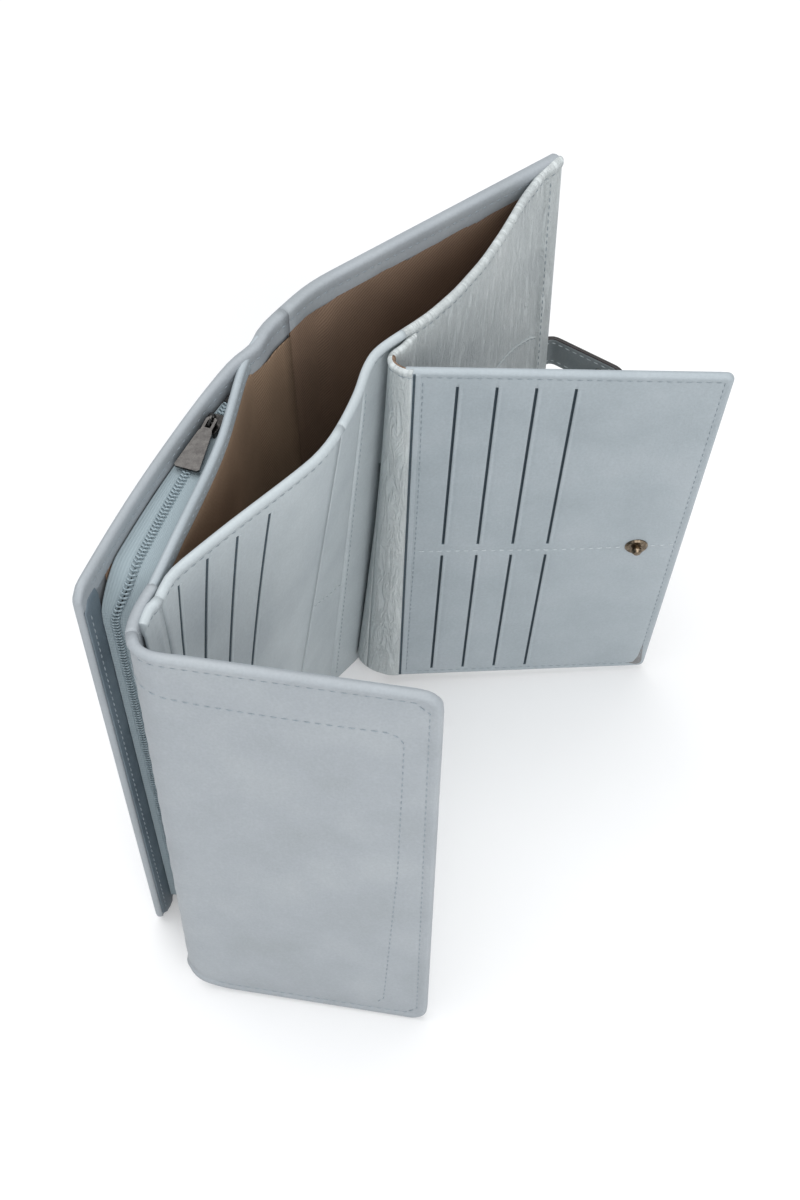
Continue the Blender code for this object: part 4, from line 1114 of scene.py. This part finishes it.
def page_surface(x, y):
    """The page's plane with the slight twist that the leather has taken on."""
    u, v = x / page_width, y / page_height
    tl, tr, bl, br = page_twist
    bulge = tl * (1 - u) * (1 - v) + tr * u * (1 - v) + bl * (1 - u) * v + br * u * v
    return (page_corner_point + page_along * x[..., None] + page_down * y[..., None]
            + page_front_way * bulge[..., None])


def slot_relief(x, y, slots):
    """Slot mouths: a groove, whose faces card_page colours dark as painted shade, and beyond it a lip
    that ends in a pressed line.
    """
    total = np.zeros_like(x)
    for first in slots:
        for top, bottom in slot_spans:
            q = x - first
            run = smooth((y - top) / 0.0008) * smooth((bottom - y) / 0.0008)
            groove = -0.00085 * (np.abs(q) < 0.00036)
            lip = 0.00022 * hump(q - 0.0009, 0.0005) - 0.00012 * hump(q - 0.0017, 0.0003)
            near = 0.00012 * hump(q + 0.0009, 0.0006)
            total = total + (groove + lip + near) * run
    return total


def backing(surface, width, height, inner, out, radii, inset):
    """The leather behind a page or flap, a little smaller than its face all round."""
    return Ply(lambda x, y: surface(x + inner, y + inner), width - inner - inner, height - inner - inner,
               thin_leather, out, radii, (), None, channel(inset), thin_leather / 2, inset)


def card_page():
    """The page's face with two rows of four slots, and its back."""
    slots = [slot_first + slot_pitch * i for i in range(slot_count)]

    def face(x, y, d):
        return (slot_relief(x, y, slots) + 0.0002 * hump(d - 0.0010, 0.0009)
                - 0.00016 * hump(d - page_inset, 0.0005)
                - 0.00016 * hump(y - page_middle, 0.0005)
                - 0.00025 * np.sin(x * 61.0) * smooth(d / 0.01) * 0.5)

    # The slots' mouths, whose faces take the dark slit finish: painted shade inside the pockets.
    def in_slot(x, y):
        return any(abs(x - first) < 0.00045 and top < y < bottom
                   for first in slots for top, bottom in slot_spans)

    front = Ply(page_surface, page_width, page_height, face_thick, -face_thick / 2,
                (0.0005, 0.0025, 0.0025, 0.0012), (), face, None, face_rim, page_inset)
    rows = [m + q * sign for top, bottom in slot_spans for m, sign in ((top, 1), (bottom, -1))
            for q in (0.0, 0.0004, 0.0008)]
    put(front, "card_page", ("card_page_front",), "card_page_face", "panel_calf", 0.004,
        columns=[first + q for first in slots for q in slot_marks],
        rows=rows + [page_middle - 0.0006, page_middle, page_middle + 0.0006], inside=in_slot)
    back = backing(page_surface, page_width, page_height, 0.0013, -0.0029,
                   (0.0012, 0.0025, 0.0025, 0.0012), page_inset)
    put(back, "card_page", ("card_page_back",), "card_page_back_leather", "panel_calf", 0.006)
    sew("card_page_rim_stitch", front, rim_row(front, page_inset, 0.003, 0.010), "card_page")
    middle_row = [(0.0073, 0.0953), (0.0531, 0.0950), (page_width - page_inset, 0.0922)]
    sew("card_page_centre_stitch", front, middle_row, "card_page", 1, "thread_pale")
    seam_row = [(0.0055, 0.0045), (0.0058, 0.0200), (0.0063, 0.0540), (0.0065, 0.0910), (0.0064, 0.1330),
                (0.0064, 0.1760)]
    sew("card_page_seam_stitch", front, seam_row, "card_page")
    # The seam's line is a dark strip too: painted shade in the groove where the spine's leather laps onto
    # the page.
    slit("card_page_seam", front, (page_laps[0] + 0.0002, 0.0010),
         (page_laps[1] + 0.0002, page_height - 0.0012), "card_page", "panel_calf", 0.0007)
    sew("card_page_back_stitch", back, rim_row(back, page_inset, 0.003, 0.003), "card_page", -1)


# The page's leather spine seen from above, from the wall round to the page: its upper and lower rim
spine_points = (((-0.9, 28.9), (-5.0, 22.8), (-7.6, 21.0), (-8.6, 18.3), (-7.7, 15.6), (-5.2, 14.0)),
                ((-16.0, 40.2), (-20.8, 39.6), (-23.4, 36.8), (-21.6, 33.2), (-18.0, 30.0), (-14.0, 28.3)))


def page_loop():
    """The leather spine that the page turns on, in two pieces that meet at the hinge."""
    steps, meet, length = 64, 34, 0.0225
    lines = []
    for points, deep, lap in zip(spine_points, (0.0, page_height), page_laps):
        ends = [page_surface(np.array([w]), np.array([deep]))[0] - page_front_way * 0.0008
                for w in (0.0, lap)]
        route = Route(in_plan(points, ends[0][2]) + ends, 0.0032)
        lines.append(route.at(np.linspace(0.0, route.length, steps + 1)))

    def spot(k):
        """The middle of the spine's height at one step round it."""
        return lines[0][k] * 0.5 + lines[1][k] * 0.5

    def face(x, y, d):
        return 0.0003 * hump(y - 0.0012, 0.0012) - sunk(y - page_inset)

    for name, nodes, first, last, flush, behind, holder in (
            ("page_spine_wall_side", ("page_spine_leather",), 0, meet, "right", None,
             ("front_right", "page_hinge", spot(0), spot(meet - 8))),
            ("page_spine_page_side", (), meet, steps, "left", "lining_twill",
             ("page_hinge", "card_page", spot(meet + 4), spot(-8)))):
        wide = length * (last - first) / steps
        rows = [line[first:last + 1] for line in lines]
        ply = Ply(between(*rows, wide, page_height), wide, page_height, 0.0022, 0.0, (0.0,) * 4, (flush,),
                  face, None, 0.0010, page_inset)
        # The spine takes the lighter creased copy: painted light on its rounded, shaded face.
        put(ply, holder, nodes, name, "creased_calf", 0.0010, behind=behind)
        sew(name + "_stitch", ply, level_row(ply, page_inset, 0.001, 0.001), holder)


# The left flap

flap_level = heading(flap_heading)
flap_along = flap_level * math.cos(math.radians(flap_dip)) - up * math.sin(math.radians(flap_dip))
flap_corner_point = np.array([*flap_start, flap_top])
flap_down = unit(-up * front_height + right_of(flap_level) * flap_lean)
flap_down = unit(flap_down - flap_along * flap_along.dot(flap_down))
flap_inset = 0.0035
loop_length = 0.0300
loop_half = loop_length * 0.55


def loop_rows():
    """The fold's top and bottom line, from the pocket's edge round to the flap."""
    start = inner_edge - inner_way * 0.0026 + right_of(inner_way) * 0.0021
    rows = []
    for height, depth, leave, start_pull, end_pull in (
            (front_height, 0.0, -115.5, 0.014, 0.012),
            (0.0, front_height, inner_leaf_heading, 0.020, 0.0135)):
        end = flap_corner_point + flap_down * depth
        rows.append(bend_through(start + up * height, heading(leave) * start_pull,
                                 end, flap_along * end_pull, 48))
    return rows


loop_top, loop_foot = loop_rows()
loop_marks = distances(loop_top)
loop_marks *= loop_length / loop_marks[-1]


def foot_rise(x):
    """How far the lower edge climbs towards the fold, in a round corner."""
    q = np.clip((loop_length + 0.0085 - x) / 0.0150, 0.0, 1.0)
    return 0.0100 * (1 - np.sqrt(1 - (0.97 * q) ** 2))


def loop_surface(x, y):
    """One leather from the pocket's edge round the fold and on over the flap."""
    share = (y / front_height * (1 - foot_rise(x) / front_height))[..., None]
    fold = (points_at(x, loop_marks, loop_top) * (1 - share)
            + points_at(x, loop_marks, loop_foot) * share)
    beyond = np.maximum(x - loop_length, 0.0)[..., None]
    plane = flap_corner_point + flap_along * beyond + flap_down * (share * front_height)
    return np.where((x < loop_length)[..., None], fold, plane)


def loop_middle(k):
    """The middle of the fold's height at one step round it."""
    return (loop_top[k] + loop_foot[k]) / 2


def tucked_end():
    """The left wall's leather goes on round the inside of the flap's fold."""
    spots = np.array([0.0140, 0.0112, 0.0084, 0.0056])
    width = 0.0145
    lines = []
    for row, route in ((loop_top, rim_route), (loop_foot, foot_route)):
        ways = unit(np.gradient(row, axis=0))
        inward = np.stack([-ways[:, 1], ways[:, 0], np.zeros(len(ways))], axis=1)
        points = points_at(spots, distances(row), row + inward * 0.0019)
        points[:, 2] = 0.0
        first, second = route.at(0.0), route.at(0.003)
        line = Route([*points, first + unit(first - second) * 0.0015, first], 0.0030)
        lines.append(line.at(np.linspace(0.0, line.length, 41)))
    lines[0][:, 2] = front_height
    ply = wall_ply(between(*lines, width, front_height), width, wall_out, ("right",), wall_bead, turned_in)
    # The tucked end takes the lighter wall copy: painted light.
    put(ply, "left_half", (), "front_left_tucked_end", "wall_calf", 0.0020)
    sew("front_left_tucked_stitch", ply, level_row(ply, stitch_inset, 0.002, 0.001), "left_half")


def flap_surface(x, y):
    """The flap's plane."""
    return flap_corner_point + flap_along * x[..., None] + flap_down * y[..., None]


def flap_relief(x, y, d):
    """A plump rim, a pressed stitch line, a soft swell, and puckers over the fold."""
    across = np.clip((x - loop_length) / flap_width, 0.0, 1.0)
    pucker = hump(x - loop_length * 0.6, 0.007)
    return (0.00055 * hump(d - bead_inset, 0.0014) - sunk(d - flap_inset)
            + 0.0007 * smooth(d / 0.02) * np.sin(math.pi * across)
            + 0.00012 * pucker * np.sin(y * 900.0 + 2.0 * np.sin(y * 210.0)) * smooth(d / 0.004))


def left_flap():
    """The flap with its half of the fold, and its back."""
    face = Ply(lambda x, y: loop_surface(x + loop_half, y), loop_length + flap_width - loop_half,
               front_height, face_thick, -face_thick / 2, (0.0, 0.006, 0.006, 0.0), ("left",),
               lambda x, y, d: flap_relief(x + loop_half, y, d), None, face_rim, flap_inset)
    holder = ("flap_hinge", "left_flap", loop_middle(30), loop_middle(-1))
    put(face, holder, ("left_flap_front",), "left_flap_face", "cover_calf", 0.0035,
        columns=[loop_length - loop_half + q for q in np.arange(-0.009, 0.010, 0.0012)])
    back = backing(flap_surface, flap_width, front_height, 0.0014, -0.0030, (0.0025, 0.006, 0.006, 0.014),
                   flap_inset)
    put(back, "left_flap", ("left_flap_back",), "left_flap_back_leather", "panel_calf", 0.006)
    sew("left_flap_rim_stitch", face, rim_row(face, flap_inset, 0.0005, 0.016, 0.004), holder)
    sew("left_flap_back_stitch", back, rim_row(back, flap_inset, 0.004, 0.016, 0.004), "left_flap", -1)
    sew("left_flap_frame_stitch", face, flap_frame_line(), holder)


def flap_frame_line():
    """The second row of stitches: along under the rim, round a corner and down the free side."""
    start = loop_length - loop_half
    inner_x, inner_y, bend = start + flap_width - 0.0100, 0.0180, 0.0060
    line = [(0.0005, 0.0130), (0.006, 0.0158), (start, 0.0176), (start + 0.010, inner_y),
            (inner_x - bend, inner_y)]
    line += [(inner_x - bend + bend * math.sin(t), inner_y + bend - bend * math.cos(t))
             for t in np.linspace(0.2, math.pi / 2, 6)]
    return line + [(inner_x - 0.001, 0.091), (inner_x - 0.0042, 0.163),
                   (inner_x - 0.0048, front_height - 0.012), (inner_x - 0.0070, front_height - 0.0085)]


def flap_loop():
    """The half of the fold that belongs to the pocket's edge."""
    ply = Ply(loop_surface, loop_half, front_height, face_thick, -face_thick / 2, (0.0,) * 4,
              ("left", "right"), flap_relief, None, face_rim, flap_inset)
    holder = ("left_half", "flap_hinge", loop_middle(0), loop_middle(20))
    put(ply, holder, ("flap_spine_leather",), "flap_fold_leather", "cover_calf", 0.0012)
    sew("flap_fold_rim_stitch", ply, level_row(ply, flap_inset, 0.001, 0.0004), holder)
    sew("flap_fold_frame_stitch", ply, [(0.004, 0.0085), (loop_half - 0.0004, 0.0128)], holder)


# The closure tab

tab_top = 0.1035
tab_width = 0.0134
tab_thick = 0.0021
tab_inset = 0.0022
tab_root = 0.0075
tab_bend = 74.0
tab_bend_steps = 8
paint_reach = 0.00055


def tab_ply(route, length, corner):
    """One leather of the strap, with round corners at its free end and stitch channels on both faces."""
    return Ply(upright(route, 0.0, tab_top), length, tab_width, tab_thick, 0.0,
               (0.0, corner, corner, 0.0), (), channel(tab_inset), channel(tab_inset), 0.0009, tab_inset)


def closure_tab():
    """A strap of two leathers with painted edges and a round end, and its root on the cover."""
    outer = lining_cloth + ply_gap + cover_leather + ply_gap
    edge = seam + right_of(half_way) * (outer + tab_thick / 2)
    way = -half_way
    points = [edge + way * 0.0008, edge + way * 0.003]
    turn = math.radians(-tab_bend) / tab_bend_steps
    c, s = math.cos(turn), math.sin(turn)
    spin = np.array([[c, -s, 0], [s, c, 0], [0, 0, 1]])
    for _ in range(tab_bend_steps):
        way = spin @ way
        points.append(points[-1] + way * 0.004 * math.radians(tab_bend) / tab_bend_steps)
    points.append(points[-1] + way * 0.0305)
    route = Route(points, 0.0015)
    strap = tab_ply(route, route.length, 0.0066)
    put(strap, "closure_tab", ("tab_leather", "tab_lining"), "closure_strap", "tab_calf", 0.0015,
        dark="edge_paint", behind="cover_calf", painted=paint_reach)
    far, low = route.length - tab_inset, tab_width - tab_inset
    line = [(0.001, tab_inset), (far - 0.005, tab_inset), (far - 0.0015, 0.0037), (far, 0.0072),
            (far - 0.0015, 0.0108), (far - 0.005, low), (0.001, low)]
    sew("closure_strap_stitch_inside", strap, line, "closure_tab", 1, "thread_pale")
    # The strap's outside row takes the darker thread: painted shade on the same pale thread as the inside
    # row.
    sew("closure_strap_stitch_outside", strap, line, "closure_tab", -1)
    base = tab_ply(Route([edge, edge + half_way * tab_root], 0.0005), tab_root, 0.002)
    put(base, "right_half", ("tab_root",), "closure_strap_base", "cover_calf", 0.002,
        dark="edge_paint", painted=paint_reach)
    sew("closure_strap_base_stitch", base, rim_row(base, tab_inset, 0.001, 0.001), "right_half")


# The zip

straight_steps = 60
corner_steps = 24
coil_pitch = 0.0013
coil_steps = 8
coil_apart = 0.00055
coil_reach = 0.00065
coil_stand = 0.0004
coil_rise = 0.0007
coil_wire = 0.00030


def pocket_walls(station, shift):
    """Where the zip meets the outer and the inner leaf, at one station. The middle point is on the
    straight line of the inner leaf, which sets the zip's own way across."""
    reach = station + inner_leaf_start + shift
    swell = leaf_bow * math.sin(math.pi * reach / leaf_width)
    outer = fold_left + leaf_way * reach + right_of(leaf_way) * swell
    stand = right_of(inner_way) * (ply_gap + lining_cloth + thin_leather)
    return outer, inner_root + inner_way * station + stand, leaf_route.at(station + 0.004) + stand


def zip_line():
    """The zip's path as (station, height): level, round the corner and down the pocket's side."""
    turn_station, turn_height = zip_side_run - zip_corner_radius, zip_level - zip_corner_radius
    line = [(zip_start + (turn_station - zip_start) * i / straight_steps, zip_level)
            for i in range(straight_steps)]
    for i in range(corner_steps):
        turn = math.pi / 2 * i / corner_steps
        line.append((turn_station + zip_corner_radius * math.sin(turn),
                     turn_height + zip_corner_radius * math.cos(turn)))
    return line + [(zip_side_run, turn_height + (zip_foot - turn_height) * i / straight_steps)
                   for i in range(straight_steps + 1)]


def zip_fastener():
    """Two tapes, and a nylon coil of two mirrored windings whose turns interlock."""
    middle_line, outer_line, inner_line, across_line = [], [], [], []
    for station, height in zip_line():
        drop = zip_level - height
        outer, straight, inner = pocket_walls(station, zip_side_shift * smooth(drop / 0.012))
        across = unit(outer - straight)
        share = 0.5 + 0.24 * smooth(drop / 0.014)
        middle = outer * share + straight * (1 - share)
        for line, point in ((middle_line, middle), (outer_line, outer - across * 0.0004),
                            (inner_line, inner + across * 0.0004)):
            line.append(np.array([point[0], point[1], height]))
        across_line.append(across)
    middle_line, across_line = np.array(middle_line), np.array(across_line)
    length = np.linalg.norm(np.diff(middle_line, axis=0), axis=1).sum()
    rise = unit(np.cross(unit(np.gradient(middle_line, axis=0)), across_line))
    rise = rise * np.sign(rise[0, 2])
    for side, edge in (("outer", np.array(outer_line)), ("inner", np.array(inner_line))):
        near = middle_line + (edge - middle_line) * 0.02
        wide = float(np.linalg.norm(edge - near, axis=1).mean())
        ply = Ply(between(near, edge, length, wide), length, wide, lining_cloth)
        obj = ply.build("zip_tape_%s_cloth" % side, "zip_tape", 0.0015)
        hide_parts("zip_tape_" + side)
        place_on(obj, "left_half")
    marks = distances(middle_line)
    s = np.arange(0.0, length, coil_pitch / coil_steps)
    base = points_at(s, marks, middle_line)
    across = unit(points_at(s, marks, across_line))
    lift = unit(points_at(s, marks, rise))
    turn = 2 * math.pi * s / coil_pitch
    for name, side in (("zip_coil_outer_row", 1.0), ("zip_coil_inner_row", -1.0)):
        wind = (base + across * (side * coil_apart + coil_reach * side * np.cos(turn))[:, None]
                + lift * (coil_stand + coil_rise * np.sin(turn))[:, None])
        obj = tube(name, wind, coil_wire, "zip_nylon", 5)
        if side > 0:
            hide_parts("zip_coil")
        place_on(obj, "left_half")


# The stage, the light and the camera

floor_size = 3.4
floor_drop = 0.0002
floor_glow = 0.24
sky_strength = 0.55


def stage():
    """White sweep: a pale floor that fades to white where the camera sees it, and keeps the shadow."""
    f = Finish("studio_floor_white")
    f.set(Base_Color=linear("#FAFAFA"), Roughness=0.9, Specular_IOR_Level=0.1)
    path = f.add("LightPath")
    seen = f.add("Math", {"operation": "MAXIMUM"}, {0: path.outputs["Is Camera Ray"],
                                                    1: path.outputs["Is Glossy Ray"]})
    glow = f.add("Emission", {"Color": grey(1.0)}, {"Strength": seen.outputs[0]})
    mix = f.add("MixShader", {0: floor_glow}, {1: f.shader.outputs[0], 2: glow.outputs[0]})
    output = f.tree.nodes["Material Output"]
    f.tree.links.new(mix.outputs[0], output.inputs["Surface"])
    mesh = bpy.data.meshes.new("studio_floor")
    half = floor_size / 2
    corners = [(-half, -half, 0), (half, -half, 0), (half, half, 0), (-half, half, 0)]
    mesh.from_pydata(corners, [], [(0, 1, 2, 3)])
    mesh.materials.append(f.material)
    floor = into_scene("studio_floor", mesh)
    floor.location.z = -floor_drop


def world():
    """A soft sky that lights the wallet, and plain white wherever the camera looks into it."""
    sky = bpy.data.worlds.new("studio_sky")
    bpy.context.scene.world = sky
    sky.use_nodes = True
    sky.node_tree.nodes.clear()
    n = Nodes(sky.node_tree)
    path = n.add("LightPath")
    seen = n.add("Math", {"operation": "MAXIMUM"}, {0: path.outputs["Is Camera Ray"],
                                                    1: path.outputs["Is Transmission Ray"]})
    soft = n.add("Background", {"Color": linear("#F3F6FA"), "Strength": sky_strength})
    white = n.add("Background", {"Color": grey(1.0), "Strength": 1.0})
    mix = n.add("MixShader", (), {0: seen.outputs[0], 1: soft.outputs[0], 2: white.outputs[0]})
    n.add("OutputWorld", (), {"Surface": mix.outputs[0]})


def softbox(name, place, aim, size, watts):
    """A rectangular lamp that faces one spot."""
    data = bpy.data.lights.new(name, "AREA")
    data.shape = "RECTANGLE"
    data.size, data.size_y = size
    data.energy = watts
    lamp = into_scene(name, data)
    lamp.location = place
    lamp.rotation_euler = (Vector(aim) - Vector(place)).to_track_quat("-Z", "Y").to_euler()


def camera():
    """The photograph's viewpoint: 687 mm away, 52.7 degrees down, turned 0.9 degrees clockwise."""
    data = bpy.data.cameras.new("photo_camera")
    data.sensor_fit = "VERTICAL"
    data.sensor_height = 36.0
    data.lens = 51.0
    data.clip_start = 0.01
    data.clip_end = 50.0
    eye, aim = Vector((-0.00698, -0.34842, 0.5465)), Vector((-0.00698, 0.06788, 0.0))
    roll = math.radians(0.9)
    forward = (aim - eye).normalized()
    right = forward.cross(Vector((0.0, 0.0, 1.0))).normalized()
    top = right.cross(forward)
    right, top = (right * math.cos(roll) - top * math.sin(roll),
                  right * math.sin(roll) + top * math.cos(roll))
    matrix = Matrix((right, top, -forward)).transposed().to_4x4()
    matrix.translation = eye
    obj = into_scene("photo_camera", data)
    obj.matrix_world = matrix
    bpy.context.scene.camera = obj


dress_nodes()
cover_left = cover()
linings()
inner_leaf()
pocket_faces(cover_left)
right_wall()
left_wall()
centre_strip()
card_page()
page_loop()
left_flap()
flap_loop()
tucked_end()
closure_tab()
zip_fastener()
stage()
world()
softbox("overhead_softbox", (-0.25, 0.15, 1.5), (0.0, 0.0, 0.1), (1.4, 1.4), 16.0)
softbox("front_softbox", (0.35, -1.2, 0.75), (0.0, 0.0, 0.1), (1.2, 1.0), 11.0)
camera()
bpy.context.scene.view_settings.view_transform = "Standard"
